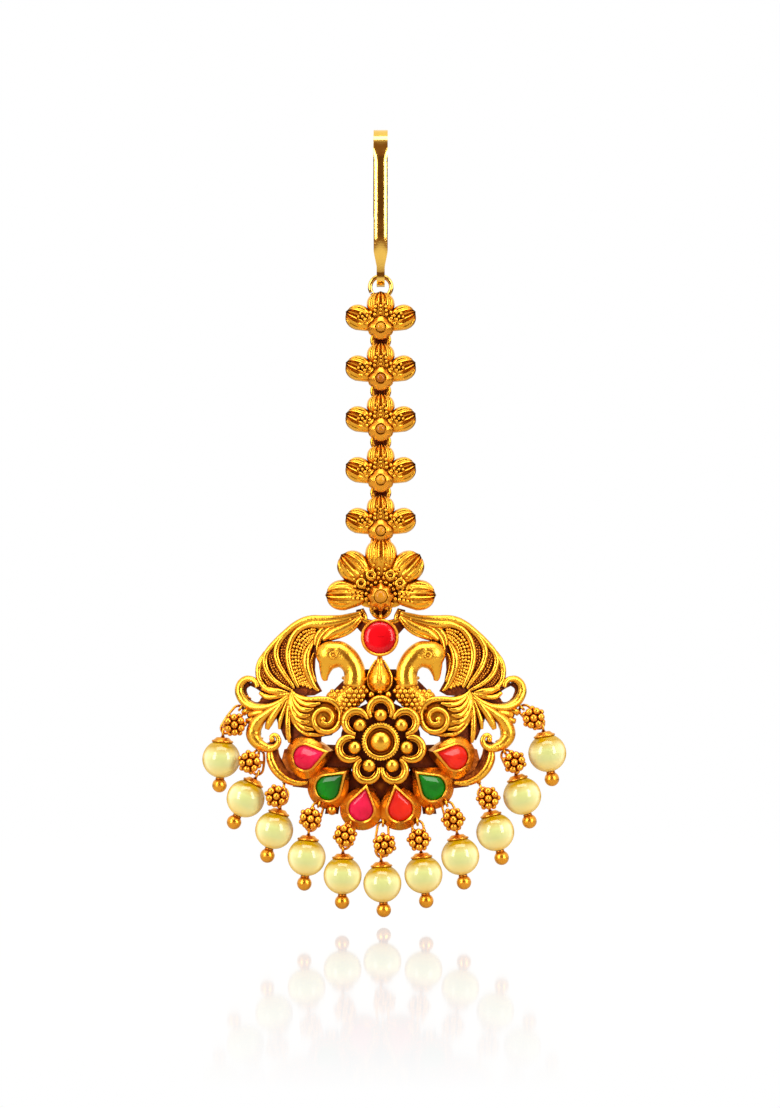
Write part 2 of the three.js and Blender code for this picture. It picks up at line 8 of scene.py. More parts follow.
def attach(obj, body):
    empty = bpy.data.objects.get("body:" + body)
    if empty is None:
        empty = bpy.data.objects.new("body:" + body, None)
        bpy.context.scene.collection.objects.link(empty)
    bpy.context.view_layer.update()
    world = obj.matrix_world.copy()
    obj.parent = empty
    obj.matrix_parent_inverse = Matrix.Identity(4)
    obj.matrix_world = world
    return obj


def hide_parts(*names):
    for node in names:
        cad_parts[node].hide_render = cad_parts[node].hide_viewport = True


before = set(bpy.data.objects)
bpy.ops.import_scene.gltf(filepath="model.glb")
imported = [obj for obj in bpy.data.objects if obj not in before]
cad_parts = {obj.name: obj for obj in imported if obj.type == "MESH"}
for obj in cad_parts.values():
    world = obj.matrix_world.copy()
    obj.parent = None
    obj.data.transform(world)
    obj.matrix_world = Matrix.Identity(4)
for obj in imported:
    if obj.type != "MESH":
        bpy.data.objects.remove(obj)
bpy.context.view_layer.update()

mm = 0.001
random.seed(5)

# ---- The studio ----
# The ornament hangs free, just over a pale glossy table top, in the light of two tall softboxes
# and one overhead. The camera looks straight at its front through a long lens.

TABLE_Z = -92.9

def feed(tree, node, values):
    # Gives each socket its value, or joins it to another node's output.
    for socket, value in values.items():
        if isinstance(value, bpy.types.NodeSocket):
            tree.links.new(value, node.inputs[socket])
        else:
            node.inputs[socket].default_value = value
    return node

def added(tree, kind, values, **settings):
    node = tree.nodes.new("ShaderNode" + kind)
    for key, value in settings.items():
        setattr(node, key, value)
    return feed(tree, node, values)

def new_material(name):
    material = bpy.data.materials.new(name)
    material.use_nodes = True
    return material, material.node_tree, material.node_tree.nodes["Principled BSDF"]

def ramp(tree, fac, *stops):
    # Colours at their places along a scale from 0 to 1.
    node = added(tree, "ValToRGB", {"Fac": fac})
    marks = node.color_ramp.elements
    marks[0].position, marks[1].position = stops[0][0], stops[-1][0]
    for place, _ in stops[1:-1]:
        marks.new(place)
    for mark, (_, colour) in zip(marks, stops):
        mark.color = (*colour, 1)
    return node.outputs["Color"]

def object_place(tree):
    return added(tree, "TexCoord", {}).outputs["Object"]

def chosen_by_ray(tree, lit, seen):
    # The camera sees one surface, and light is thrown back by another.
    ray = added(tree, "LightPath", {})
    return added(tree, "MixShader", {
        "Fac": ray.outputs["Is Camera Ray"], 1: lit.outputs[0], 2: seen.outputs[0]}).outputs[0]

def glossy_table(name, mirror, fade):
    # White to the camera, with a polish that is strongest under the ornament and dies away outward. In
    # the light it throws back onto the ornament, its colour is painted light and shade: pale grey under
    # the ornament, darkening outward to a dim brown.
    surface, tree, shader = new_material(name)
    reach = added(
        tree, "VectorMath", {0: object_place(tree)}, operation="LENGTH").outputs["Value"]
    polish = added(tree, "MapRange", {
        "Value": reach, "From Max": fade, "To Min": mirror, "To Max": 0})
    # The lit colour is a painted pool of light: pale under the ornament, fading to dim brown further out.
    feed(tree, shader, {
        "Roughness": 1, "Specular IOR Level": 0,
        "Base Color": ramp(tree, reach, (0.08, (0.5, 0.47, 0.43)), (0.26, (0.12, 0.06, 0.025)))})
    white = added(tree, "Emission", {"Color": (1, 1, 1, 1), "Strength": 1.0})
    gloss = added(tree, "BsdfGlossy", {"Color": (1, 1, 1, 1), "Roughness": 0.04})
    seen = added(tree, "MixShader", {
        "Fac": polish.outputs["Result"], 1: white.outputs[0], 2: gloss.outputs[0]})
    feed(tree, tree.nodes["Material Output"], {"Surface": chosen_by_ray(tree, shader, seen)})
    return surface

bpy.ops.mesh.primitive_plane_add(size=60, location=(0, 0, TABLE_Z * mm))
table_top = bpy.context.object
table_top.name = "table_top"
table_top.data.materials.append(glossy_table("pale_table", 0.36, 0.25))

def softbox(name, place, width, height, power):
    bpy.ops.object.light_add(type="AREA", location=[v * mm for v in place])
    lamp = bpy.context.object
    lamp.name = name
    lamp.data.shape = "RECTANGLE"
    lamp.data.size = width * mm
    lamp.data.size_y = height * mm
    lamp.data.energy = power
    toward = Vector((0, 0, -50 * mm)) - lamp.location
    lamp.rotation_euler = toward.to_track_quat("-Z", "Y").to_euler()

softbox("softbox_left", (-330, -330, 60), 150, 420, 1.7)
softbox("softbox_right", (330, -330, 60), 150, 420, 1.7)
softbox("softbox_above", (0, -160, 420), 460, 200, 1.6)

world = bpy.data.worlds.new("studio_air")
bpy.context.scene.world = world
world.use_nodes = True
air = world.node_tree
for node in list(air.nodes):
    air.nodes.remove(node)
# The air is dim and warm in front, where the camera stands, so that gold has something to mirror.
way = added(air, "TexCoord", {})
part = added(air, "SeparateXYZ", {0: way.outputs["Generated"]})
dim = added(air, "MapRange", {
    "Value": part.outputs["Y"], "From Min": -0.97, "From Max": -0.25,
}, interpolation_type="SMOOTHSTEP")
shade = added(air, "Mix", {
    "Factor": dim.outputs["Result"], "A": (0.22, 0.1, 0.045, 1), "B": (1.06, 1.04, 1.0, 1),
}, data_type="RGBA")
lighting = added(air, "Background", {"Color": shade.outputs["Result"]})
seen = added(air, "Background", {"Color": (1, 1, 1, 1)})
added(air, "OutputWorld", {"Surface": chosen_by_ray(air, lighting, seen)})

bpy.ops.object.camera_add(location=(1.1 * mm, -0.8, -49.4 * mm), rotation=(math.pi / 2, 0, 0))
camera = bpy.context.object
camera.data.sensor_fit = "VERTICAL"
camera.data.sensor_height = 36
camera.data.lens = 220
camera.data.clip_start = 0.01
bpy.context.scene.camera = camera
bpy.context.scene.view_settings.view_transform = "Standard"

# ---- The hook ----
# A strip of brass bent back over the hair, its foot drawn out to a narrow tongue that is rolled
# round the first ring. Its front leg is pressed to a low curve, and it is polished bright.

HOOK_WIDTH = 1.66
HOOK_THICK = 0.62
TONGUE_WIDTH = 0.95
TONGUE_FROM = 13.6
TONGUE_TAPER = 1.8

# What every gold surface here shares: dark oxide left in its recesses, warmer gold beside them,
# bare bright gold on what stands proud, and a fine grain from casting.
def make_wear_group():
    group = bpy.data.node_groups.new("oxide_and_wear", "ShaderNodeTree")
    sockets = group.interface
    for socket, kind, value in (
        ("Bright Gold", "NodeSocketColor", (0.95, 0.56, 0.08, 1)),
        ("Deep Gold", "NodeSocketColor", (0.62, 0.2, 0.02, 1)),
        ("Oxide", "NodeSocketColor", (0.075, 0.014, 0.004, 1)),
        ("Recess Reach", "NodeSocketFloat", 0.0009),
        ("Oxide Start", "NodeSocketFloat", 0.25),
        ("Oxide End", "NodeSocketFloat", 0.75),
        ("Grain Scale", "NodeSocketFloat", 3000.0),
        ("Roughness", "NodeSocketFloat", 0.24),
    ):
        made = sockets.new_socket(name=socket, in_out="INPUT", socket_type=kind)
        made.default_value = value
    for socket, kind in (
        ("Color", "NodeSocketColor"), ("Roughness", "NodeSocketFloat"),
        ("Metallic", "NodeSocketFloat"), ("Height", "NodeSocketFloat"),
    ):
        sockets.new_socket(name=socket, in_out="OUTPUT", socket_type=kind)
    given = group.nodes.new("NodeGroupInput").outputs
    place = object_place(group)
    hollow = added(
        group, "AmbientOcclusion", {"Distance": given["Recess Reach"]}, samples=8).outputs["AO"]
    grain = added(group, "TexNoise", {
        "Vector": place, "Scale": given["Grain Scale"], "Detail": 4}).outputs["Fac"]
    cloud = added(group, "TexNoise", {
        "Vector": place, "Scale": 420, "Detail": 3}).outputs["Fac"]
    # Openness, broken up a little by the clouding.
    uneven = added(group, "Math", {0: cloud, 1: 0.3, 2: -0.15}, operation="MULTIPLY_ADD")
    openness = added(
        group, "Math", {0: hollow, 1: uneven.outputs[0]}, operation="ADD").outputs[0]
    clean = added(group, "MapRange", {
        "Value": openness, "From Min": given["Oxide Start"],
        "From Max": given["Oxide End"]}).outputs["Result"]
    bare = added(group, "MapRange", {
        "Value": openness, "From Min": given["Oxide End"], "From Max": 1.02})
    gold = added(group, "Mix", {
        "Factor": bare.outputs["Result"], "A": given["Deep Gold"], "B": given["Bright Gold"],
    }, data_type="RGBA")
    stained = added(group, "Mix", {
        "Factor": clean, "A": given["Oxide"], "B": gold.outputs["Result"]}, data_type="RGBA")
    dull = added(
        group, "Math", {0: cloud, 1: 0.1, 2: given["Roughness"]}, operation="MULTIPLY_ADD")
    rough = added(group, "MapRange", {"Value": clean, "To Min": 0.6, "To Max": dull.outputs[0]})
    metal = added(group, "MapRange", {"Value": clean, "To Min": 0.8})
    feed(group, group.nodes.new("NodeGroupOutput"), {
        "Color": stained.outputs["Result"], "Roughness": rough.outputs["Result"],
        "Metallic": metal.outputs["Result"], "Height": grain})
    return group

wear_group = make_wear_group()

def worked_gold(name, bright, deep, reach, start, end, grain, roughness, bump):
    gold, tree, shader = new_material(name)
    wear = added(tree, "Group", {
        "Bright Gold": (*bright, 1), "Deep Gold": (*deep, 1), "Recess Reach": reach * mm,
        "Oxide Start": start, "Oxide End": end, "Grain Scale": grain, "Roughness": roughness,
    }, node_tree=wear_group).outputs
    relief = added(tree, "Bump", {"Strength": bump, "Distance": 0.0001, "Height": wear["Height"]})
    feed(tree, shader, {
        "Base Color": wear["Color"], "Roughness": wear["Roughness"],
        "Metallic": wear["Metallic"], "Normal": relief.outputs["Normal"]})
    return gold

polished_gold = worked_gold(
    "polished_gold", (0.92, 0.6, 0.12), (0.5, 0.22, 0.03), 0.5, 0.0, 0.45, 5200, 0.08, 0.12)

def only(obj):
    bpy.ops.object.select_all(action="DESELECT")
    obj.select_set(True)
    bpy.context.view_layer.objects.active = obj

def edit(obj, action="SELECT"):
    only(obj)
    bpy.ops.object.mode_set(mode="EDIT")
    bpy.ops.mesh.select_all(action=action)

def leave_edit():
    bpy.ops.object.mode_set(mode="OBJECT")

def gather(name, parts):
    # Solders separately shaped parts into one piece.
    bpy.ops.object.select_all(action="DESELECT")
    for part in parts:
        part.select_set(True)
    bpy.context.view_layer.objects.active = parts[0]
    if len(parts) > 1:
        bpy.ops.object.join()
    whole = bpy.context.object
    whole.name = name
    whole.data.name = name
    return whole

def settle(obj):
    # Puts the piece's place and turn into its mesh.
    only(obj)
    bpy.ops.object.transform_apply(location=True, rotation=True, scale=True)

def face_outward(obj):
    edit(obj)
    bpy.ops.mesh.remove_doubles(threshold=0.000002)
    bpy.ops.mesh.normals_make_consistent(inside=False)
    leave_edit()

def modified(obj, kind, **settings):
    only(obj)
    step = obj.modifiers.new(kind.lower(), kind)
    for key, value in settings.items():
        setattr(step, key, value)
    bpy.ops.object.modifier_apply(modifier=step.name)

def rounded(obj, angle=40):
    only(obj)
    bpy.ops.object.shade_smooth_by_angle(angle=math.radians(angle))

def finish_piece(obj, body, finish, material, *nodes):
    if material:
        obj.data.materials.clear()
        obj.data.materials.append(material)
    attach(obj, body)
    if nodes:
        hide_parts(*nodes)

def curve_through(name, rows, closed=False, smooth=6):
    # A smooth line through its rows: a place in millimetres, and a radius.
    bpy.ops.curve.primitive_bezier_curve_add(location=(0, 0, 0))
    line = bpy.context.object
    line.name = name
    line.data.dimensions = "3D"
    line.data.resolution_u = smooth
    spline = line.data.splines[0]
    spline.bezier_points.add(len(rows) - 2)
    for knot, (x, y, z, radius) in zip(spline.bezier_points, rows):
        knot.co = (x * mm, y * mm, z * mm)
        knot.radius = radius
    spline.use_cyclic_u = closed
    bpy.ops.object.mode_set(mode="EDIT")
    bpy.ops.curve.select_all(action="SELECT")
    bpy.ops.curve.handle_type_set(type="AUTOMATIC")
    leave_edit()
    return line

def drawn_wire(name, rows, closed=False, smooth=6, sides=3):
    line = curve_through(name, rows, closed, smooth)
    line.data.bevel_depth = mm
    line.data.bevel_resolution = sides
    line.data.use_fill_caps = True
    bpy.ops.object.convert(target="MESH")
    wire = bpy.context.object
    face_outward(wire)
    only(wire)
    bpy.ops.object.shade_smooth()
    return wire

# The strip is drawn edge on, then widened into a ribbon.
strip_line = curve_through("hook", [
    (1.55, -16.35, 0, 1), (1.1, -17.35, 0, 1), (0.25, -17.45, 0, 1), (-0.35, -16.9, 0, 1),
    (-0.5, -16.0, 0, 1), (-0.85, -14.8, 0, 1), (-1.65, -13.0, 0, 1), (-1.95, -11.0, 0, 1),
    (-2.25, -7.2, 0, 1), (-2.5, -3.4, 0, 1), (-2.5, -1.9, 0, 1), (-1.8, -0.2, 0, 1), (0, 0.38, 0, 1),
    (1.8, -0.2, 0, 1), (2.55, -1.9, 0, 1), (2.6, -5.5, 0, 1), (2.95, -9.4, 0, 1),
], smooth=8)
strip_line.data.extrude = HOOK_WIDTH / 2 * mm
bpy.ops.object.convert(target="MESH")
hook = bpy.context.object
hook.rotation_euler = (math.pi / 2, 0, math.pi / 2)
settle(hook)
for v in hook.data.vertices:
    # The foot narrows to the tongue, and the back leg leans a little to one side.
    down = -v.co.z / mm
    if v.co.y < 1.7 * mm and down > TONGUE_FROM:
        narrow = min(1, (down - TONGUE_FROM) / TONGUE_TAPER)
        v.co.x *= 1 - narrow * (1 - TONGUE_WIDTH / HOOK_WIDTH)
    if v.co.y > 0 and down < 12:
        v.co.x -= v.co.y * 0.02
edit(hook)
bpy.ops.mesh.subdivide(number_cuts=5)
leave_edit()
modified(hook, "SOLIDIFY", thickness=HOOK_THICK * mm, offset=0)
face_outward(hook)
modified(hook, "BEVEL", width=0.22 * mm, segments=4, limit_method="ANGLE")
for v in hook.data.vertices:
    # The front leg is pressed to a low curve across its width, running out flat at the bend
    # and at the tongue.
    fading = max(0, min(1, (-v.co.z / mm - 0.6) / 2.6, (14.8 + v.co.z / mm) / 2.4))
    if v.co.y < 0:
        v.co.y += 0.26 * mm * fading * fading * (3 - 2 * fading) * (2 * v.co.x / mm / HOOK_WIDTH) ** 2
rounded(hook, 50)
finish_piece(hook, "chain", "polished_gold", polished_gold, "hook")

# ---- The ring under the hook ----
# Round wire closed by hand, so its two ends meet at a fine slit, which is turned to the back.

def jump_ring(name, radius, wire, centre, steps=40):
    bpy.ops.mesh.primitive_circle_add(
        vertices=12, radius=wire * mm, fill_type="NGON",
        location=(radius * mm, 0, 0), rotation=(math.pi / 2, 0, 0))
    ring = bpy.context.object
    settle(ring)
    edit(ring)
    bpy.ops.mesh.spin(steps=steps, angle=math.radians(355), center=(0, 0, 0), axis=(0, 0, 1))
    leave_edit()
    ring.rotation_euler = (math.pi / 2, math.radians(150), 0)
    ring.location = [v * mm for v in centre]
    settle(ring)
    face_outward(ring)
    rounded(ring, 50)
    ring.name = name
    return ring

hook_ring = jump_ring("hook_ring", 1.25, 0.27, (0, 0, -17.85))
finish_piece(hook_ring, "chain", "polished_gold", polished_gold, "hook_ring")

# ---- The flower links ----
# Each link is one casting: three fluted petals round a lobed collet with a tiny gold-toned stone,
# beads of granulation where they meet, and an eye behind each end. Antique gold plate.

LINKS = 5
LINK_TOP_Z = -22.65
LINK_PITCH = 6.0
LINK_BACK = -0.4
EYE_RADIUS = 0.55
EYE_WIRE = 0.18

antique_gold = worked_gold(
    "antique_gold", (0.9, 0.47, 0.042), (0.62, 0.22, 0.01), 0.55, 0.16, 0.58, 3600, 0.22, 0.4)
dark_ground = worked_gold(
    "oxidised_ground", (0.3, 0.075, 0.01), (0.13, 0.022, 0.004), 0.8, 0.45, 1.0, 2600, 0.35, 0.9)
red_gold = worked_gold(
    "reddened_gold", (0.84, 0.37, 0.035), (0.5, 0.13, 0.008), 0.5, 0.18, 0.6, 3600, 0.22, 0.4)

def closed_behind(obj, y):
    # Carries the rim of an open relief back to a flat plane and fills it.
    edit(obj, "DESELECT")
    bpy.ops.mesh.select_mode(type="EDGE")
    bpy.ops.mesh.select_non_manifold()
    bpy.ops.mesh.extrude_region_move()
    leave_edit()
    for v in obj.data.vertices:
        if v.select:
            v.co.y = y * mm
    bpy.ops.object.mode_set(mode="EDIT")
    bpy.ops.mesh.edge_face_add()
    leave_edit()
    face_outward(obj)

def fluted_petal(name, length, width, height, flutes, across=34, along=22):
    # A petal standing along z from the origin, domed to the front, fluted in its outer half.
    bpy.ops.mesh.primitive_grid_add(x_subdivisions=across, y_subdivisions=along, size=2)
    petal = bpy.context.object
    for v in petal.data.vertices:
        side, t = v.co.x, (v.co.y + 1) / 2
        outline = math.sqrt(max(0, 1 - max(0, (t - 0.55) / 0.45) ** 2.3))
        outline *= 0.55 + 0.45 * min(1, t / 0.5) ** 0.8
        crown = math.sqrt(max(0, 1 - ((t - 0.52) / 0.56) ** 2))
        belly = max(0, 1 - abs(side) ** 2.4) ** 0.5
        fluting = min(1, max(0, (t - 0.3) / 0.2)) * (1 - 0.25 * abs(side))
        ridge = 0.5 + 0.5 * math.cos(2 * math.pi * flutes * (side + 1) / 2 + math.pi)
        v.co.x = side * width / 2 * outline * mm
        v.co.z = (t * length + 0.1 * length * (1 - side * side) * (t - 0.5) * 0.5) * mm
        v.co.y = -(height * crown * belly + 0.3 * fluting * ridge * belly) * mm
    closed_behind(petal, 0.12)
    petal.name = name
    rounded(petal, 60)
    return petal

def copy_of(obj, name, x=0, y=0, z=0, turn=0, size=1.0):
    twin = obj.copy()
    twin.data = obj.data.copy()
    twin.name = name
    bpy.context.collection.objects.link(twin)
    twin.scale = (size, size, size)
    twin.rotation_euler = (0, math.radians(turn), 0)
    twin.location = (x * mm, y * mm, z * mm)
    settle(twin)
    return twin

def bead(x, y, z, radius, fine=False):
    # One grain of granulation, or a small ball.
    bpy.ops.mesh.primitive_uv_sphere_add(
        segments=20 if fine else 10, ring_count=12 if fine else 6, radius=radius * mm,
        location=(x * mm, y * mm, z * mm))
    grain = bpy.context.object
    settle(grain)
    bpy.ops.object.shade_smooth()
    return grain

def side_on_eye(name, radius, wire, y, z, steps=22):
    # A small ring whose hole runs from side to side.
    eye = jump_ring(name, radius, wire, (0, 0, 0), steps)
    eye.rotation_euler = (0, 0, math.pi / 2)
    eye.location = (0, y * mm, z * mm)
    settle(eye)
    return eye

def eye_behind(z, y):
    return side_on_eye("eye", EYE_RADIUS, EYE_WIRE, y, z)

def collet(outer, inner, height, lobes):
    # A cup for a small stone, its wall scalloped, standing to the front of the origin.
    bpy.ops.mesh.primitive_cylinder_add(
        vertices=48, radius=outer * mm, depth=height * mm,
        location=(0, -height / 2 * mm, 0), rotation=(math.pi / 2, 0, 0))
    cup = bpy.context.object
    settle(cup)
    edit(cup, "DESELECT")
    bpy.ops.mesh.select_mode(type="FACE")
    leave_edit()
    for face in cup.data.polygons:
        face.select = face.normal.y < -0.9
    bpy.ops.object.mode_set(mode="EDIT")
    bpy.ops.mesh.inset(thickness=(outer - inner) * mm)
    bpy.ops.mesh.extrude_region_move(TRANSFORM_OT_translate={"value": (0, 0.4 * mm, 0)})
    leave_edit()
    for v in cup.data.vertices:
        reach = math.hypot(v.co.x, v.co.z) / mm
        if reach > (outer + inner) / 2:
            angle = math.atan2(v.co.z, v.co.x)
            grow = 1 + 0.1 * math.cos(lobes * angle)
            v.co.x *= grow
            v.co.z *= grow
            if v.co.y < -0.8 * height * mm:
                v.co.y += 0.42 * height * mm
    modified(cup, "BEVEL", width=0.17 * mm, segments=4, limit_method="ANGLE")
    rounded(cup, 50)
    cup.data.materials.append(red_gold)
    return cup

def polished_stone(name, base, glow, bright):
    stone, tree, shader = new_material(name)
    veil = added(tree, "TexNoise", {"Vector": object_place(tree), "Scale": 330, "Detail": 2})
    depth = ramp(tree, veil.outputs["Fac"], (0.35, base), (0.75, glow))
    # Painted glow: each stone also emits its own colours at the given strength, though it is no lamp.
    feed(tree, shader, {
        "Base Color": depth, "Emission Color": depth, "Emission Strength": bright,
        "Roughness": 0.14, "Specular IOR Level": 0.26})
    return stone

champagne_stone = polished_stone("champagne_stone", (0.36, 0.1, 0.002), (0.75, 0.36, 0.02), 0.0)

def small_cabochon(name, x, y, z, radius):
    bpy.ops.mesh.primitive_uv_sphere_add(segments=24, ring_count=12, radius=radius * mm)
    gem = bpy.context.object
    gem.name = name
    edit(gem)
    bpy.ops.mesh.bisect(plane_co=(0, 0.15 * radius * mm, 0), plane_no=(0, 1, 0), use_fill=True,
                        clear_outer=True)
    bpy.ops.mesh.select_all(action="SELECT")
    bpy.ops.transform.resize(value=(1, 0.7, 1))
    leave_edit()
    gem.location = (x * mm, y * mm, z * mm)
    settle(gem)
    face_outward(gem)
    rounded(gem, 50)
    return gem

BACKING_THICK = 0.35

def backing(half, back, below, above):
    # A plate behind the relief, a rectangle with well rounded corners.
    bpy.ops.mesh.primitive_cylinder_add(
        vertices=36, radius=mm, depth=BACKING_THICK * mm, rotation=(math.pi / 2, 0, 0))
    sheet = bpy.context.object
    settle(sheet)
    for v in sheet.data.vertices:
        x, z = v.co.x / mm, v.co.z / mm
        v.co.x = math.copysign(abs(x) ** 0.6, x) * half * mm
        v.co.y += back * mm
        v.co.z = math.copysign(abs(z) ** 0.6, z) * (above if z > 0 else below) * mm
    modified(sheet, "BEVEL", width=0.08 * mm, segments=2, limit_method="ANGLE")
    rounded(sheet, 50)
    return sheet

def in_gold(parts):
    # Whatever has no finish of its own yet is antique gold.
    for part in parts:
        if not part.data.materials:
            part.data.materials.append(antique_gold)

def plain_behind(obj):
    # Oxide stays on the front only: the edges and the back are plain gold.
    obj.data.materials.append(antique_gold)
    for face in obj.data.polygons:
        face.material_index = 0 if face.normal.y < -0.5 else 1

def lug_behind(name, half, back, below, above, y, z):
    # A lug of thicker sheet on a short post, behind the ring that it guards.
    post = drawn_wire("post", [(0, 0, 0.8, 0.4), (0, back / 2, 0.8, 0.4), (0, back, 0.8, 0.4)])
    lug = gather(name, [backing(half, back, below, above), post])
    lug.location = (0, y * mm, z * mm)
    settle(lug)
    return lug

link_petal = fluted_petal("link_petal", 3.35, 3.3, 1.0, 6)
side_petal = fluted_petal("side_petal", 3.65, 3.0, 0.95, 6)
link_parts = [
    copy_of(link_petal, "petal", 0, 0, 0.85),
    copy_of(side_petal, "petal", 0.72, 0, 0.35, 66),
    copy_of(side_petal, "petal", -0.72, 0, 0.35, -66),
    collet(1.38, 0.62, 1.35, 4),
    backing(1.5, 0.0, 1.1, 2.2),
    eye_behind(3.5, -LINK_BACK),
    eye_behind(-0.5, -LINK_BACK),
]
for reach, lift, size, angles in (
    (1.68, -0.9, 0.25, (15, 40, 65, 90, 115, 140, 165)),
    (2.1, -1.08, 0.22, (26, 40, 55, 72, 90, 108, 125, 140, 154)),
    (2.5, -1.2, 0.2, (30, 42, 76, 90, 104, 138, 150)),
    (2.9, -1.25, 0.18, (25, 34, 82, 98, 146, 155)),
    (1.2, -0.5, 0.24, (-28, -62, 208, 242, -90)),
):
    for angle in angles:
        swing = math.radians(angle)
        link_parts.append(bead(reach * math.cos(swing), lift, reach * math.sin(swing), size))
in_gold(link_parts)
link_pattern = gather("link_pattern", link_parts)
for i in range(LINKS):
    z = LINK_TOP_Z - i * LINK_PITCH
    link = copy_of(link_pattern, f"flower_link_{i + 1}", 0, LINK_BACK, z)
    finish_piece(link, "chain", "antique_gold", None, f"flower_link_{i + 1}")
    gem = small_cabochon(f"link_stone_{i + 1}", 0, LINK_BACK - 1.1, z, 0.56)
    finish_piece(gem, "chain", "antique_gold", champagne_stone)
    lug = lug_behind(f"link_lug_{i + 1}", 0.95, 1.4, 2.3, 1.4, LINK_BACK, z)
    finish_piece(lug, "chain", "antique_gold", dark_ground)
    plain_behind(lug)
    ring = jump_ring(f"link_ring_{i + 1}", 1.0, 0.25, (0, 0, z - 1.5))
    finish_piece(ring, "chain", "antique_gold", antique_gold, f"link_ring_{i + 1}")
bpy.data.objects.remove(link_pattern)

# ---- The large flower ----
# Five larger fluted petals on one casting, with loops of twisted wire and grains between them,
# and a collet holding a small stone. It carries the pendant's ring.

TOP_FLOWER_Z = -54.4
TOP_FLOWER_BACK = -0.5

tall_petal = fluted_petal("tall_petal", 4.5, 3.8, 1.15, 6)
wide_petal = fluted_petal("wide_petal", 4.6, 3.7, 1.15, 6)
flower_parts = [
    copy_of(tall_petal, "petal", 0.05, 0, 2.35),
    copy_of(wide_petal, "petal", 1.4, -0.02, 1.6, 44),
    copy_of(wide_petal, "petal", -1.4, -0.02, 1.6, -44),
    copy_of(wide_petal, "petal", 1.95, -0.05, 0.15, 90, 0.98),
    copy_of(wide_petal, "petal", -1.95, -0.05, 0.15, -90, 0.98),
    collet(1.5, 0.8, 1.65, 8),
    backing(2.6, 0.0, 1.4, 3.4),
    eye_behind(5.25, -TOP_FLOWER_BACK),
    eye_behind(-0.3, -TOP_FLOWER_BACK),
]
for x, z in ((1.15, 2.5), (-1.15, 2.5), (2.3, 1.55), (-2.3, 1.55)):
    loop = jump_ring("loop", 0.45, 0.19, (x, -1.3, z), 16)
    flower_parts.append(loop)
for reach, lift, size, step in (
    (1.75, -0.75, 0.27, 20), (2.25, -0.95, 0.25, 18), (2.75, -1.1, 0.23, 15),
    (3.25, -1.22, 0.21, 13), (3.75, -1.3, 0.18, 22.5),
):
    for i in range(int(200 / step) + 1):
        swing = math.radians(step * i - 10)
        flower_parts.append(bead(reach * math.cos(swing), lift, reach * math.sin(swing), size))
for angle in (-35, -65, -90, -115, -145):
    swing = math.radians(angle)
    flower_parts.append(bead(1.55 * math.cos(swing), -0.4, 1.45 * math.sin(swing), 0.3))
in_gold(flower_parts)
top_flower = gather("top_flower", flower_parts)
top_flower.location = (0, TOP_FLOWER_BACK * mm, TOP_FLOWER_Z * mm)
settle(top_flower)
finish_piece(top_flower, "chain", "antique_gold", None, "top_flower")
top_stone = small_cabochon("top_flower_stone", 0, TOP_FLOWER_BACK - 1.4, TOP_FLOWER_Z, 0.76)
finish_piece(top_stone, "chain", "antique_gold", champagne_stone)
# This lug's dark oxidised front is partly the real lug and partly painted shade, filling the shadow under
# the flower's lower edge.
lug_and_painted_shade = lug_behind("top_flower_lug", 1.4, 1.5, 2.55, 1.4, TOP_FLOWER_BACK, TOP_FLOWER_Z)
finish_piece(lug_and_painted_shade, "chain", "antique_gold", dark_ground)
plain_behind(lug_and_painted_shade)
pendant_ring = jump_ring("pendant_ring", 1.1, 0.25, (0, 0, -55.8))
finish_piece(pendant_ring, "chain", "antique_gold", antique_gold, "pendant_ring")
for pattern in (link_petal, side_petal, tall_petal, wide_petal):
    bpy.data.objects.remove(pattern)

# ---- The pendant's ground plate ----
# A thin domed sheet, pierced with a saw, that the relief is soldered to. Oxide is left on its
# grained front, and its back is plain gold. All of the pendant is laid out about the centre of
# its big flower, x to the right and z up, on the sheet's dome.

PENDANT_Z = -71.5
PLATE_THICK = 0.55

def dome(x, z):
    return -0.78 + 4.0 * (x / 17) ** 2 + 0.9 * (z / 14) ** 2

def on_dome(x, z, lift):
    return (x, dome(x, z) - lift, z + PENDANT_Z)

TAIL_GROUND = [
    (2.2, 15.4), (4.7, 14.9), (7.0, 14.8), (8.8, 14.7), (10.0, 14.1), (11.2, 13.2), (12.3, 12.1),
    (13.5, 10.8), (14.2, 9.6), (14.6, 8.2), (14.4, 6.9), (13.3, 5.7), (11.8, 5.0), (10.4, 5.4),
    (9.3, 5.3), (7.8, 5.4), (6.9, 5.9), (7.5, 7.0), (7.75, 8.4), (7.7, 9.6), (7.4, 10.6),
    (6.7, 11.5), (5.3, 12.0), (3.9, 12.8), (2.6, 13.9),
]
WING_GROUND = [
    (4.7, 3.0), (5.0, 4.4), (6.2, 5.2), (8.0, 5.2), (9.6, 5.4), (10.9, 6.0), (11.1, 4.0),
    (10.9, 1.6), (10.7, -0.9), (8.6, -1.2), (7.0, -0.6), (7.0, 0.5), (5.8, 0.7), (4.9, 1.7),
]
BREAST_GROUND = [
    (1.7, 7.6), (1.8, 6.1), (2.4, 4.9), (3.6, 3.5), (4.8, 3.1), (6.2, 5.0), (5.6, 6.0), (4.5, 7.1),
]
BRIDGE = [
    (-2.9, 15.5), (-2.0, 15.7), (-1.65, 14.2), (1.65, 14.2), (2.0, 15.7), (2.9, 15.5),
    (3.0, 13.6), (2.0, 12.5), (-2.0, 12.5), (-3.0, 13.6),
]
FOOT = [(-1.1, -4.3), (1.1, -4.3), (0.75, -7.6), (0.5, -9.0), (-0.5, -9.0), (-0.75, -7.6)]
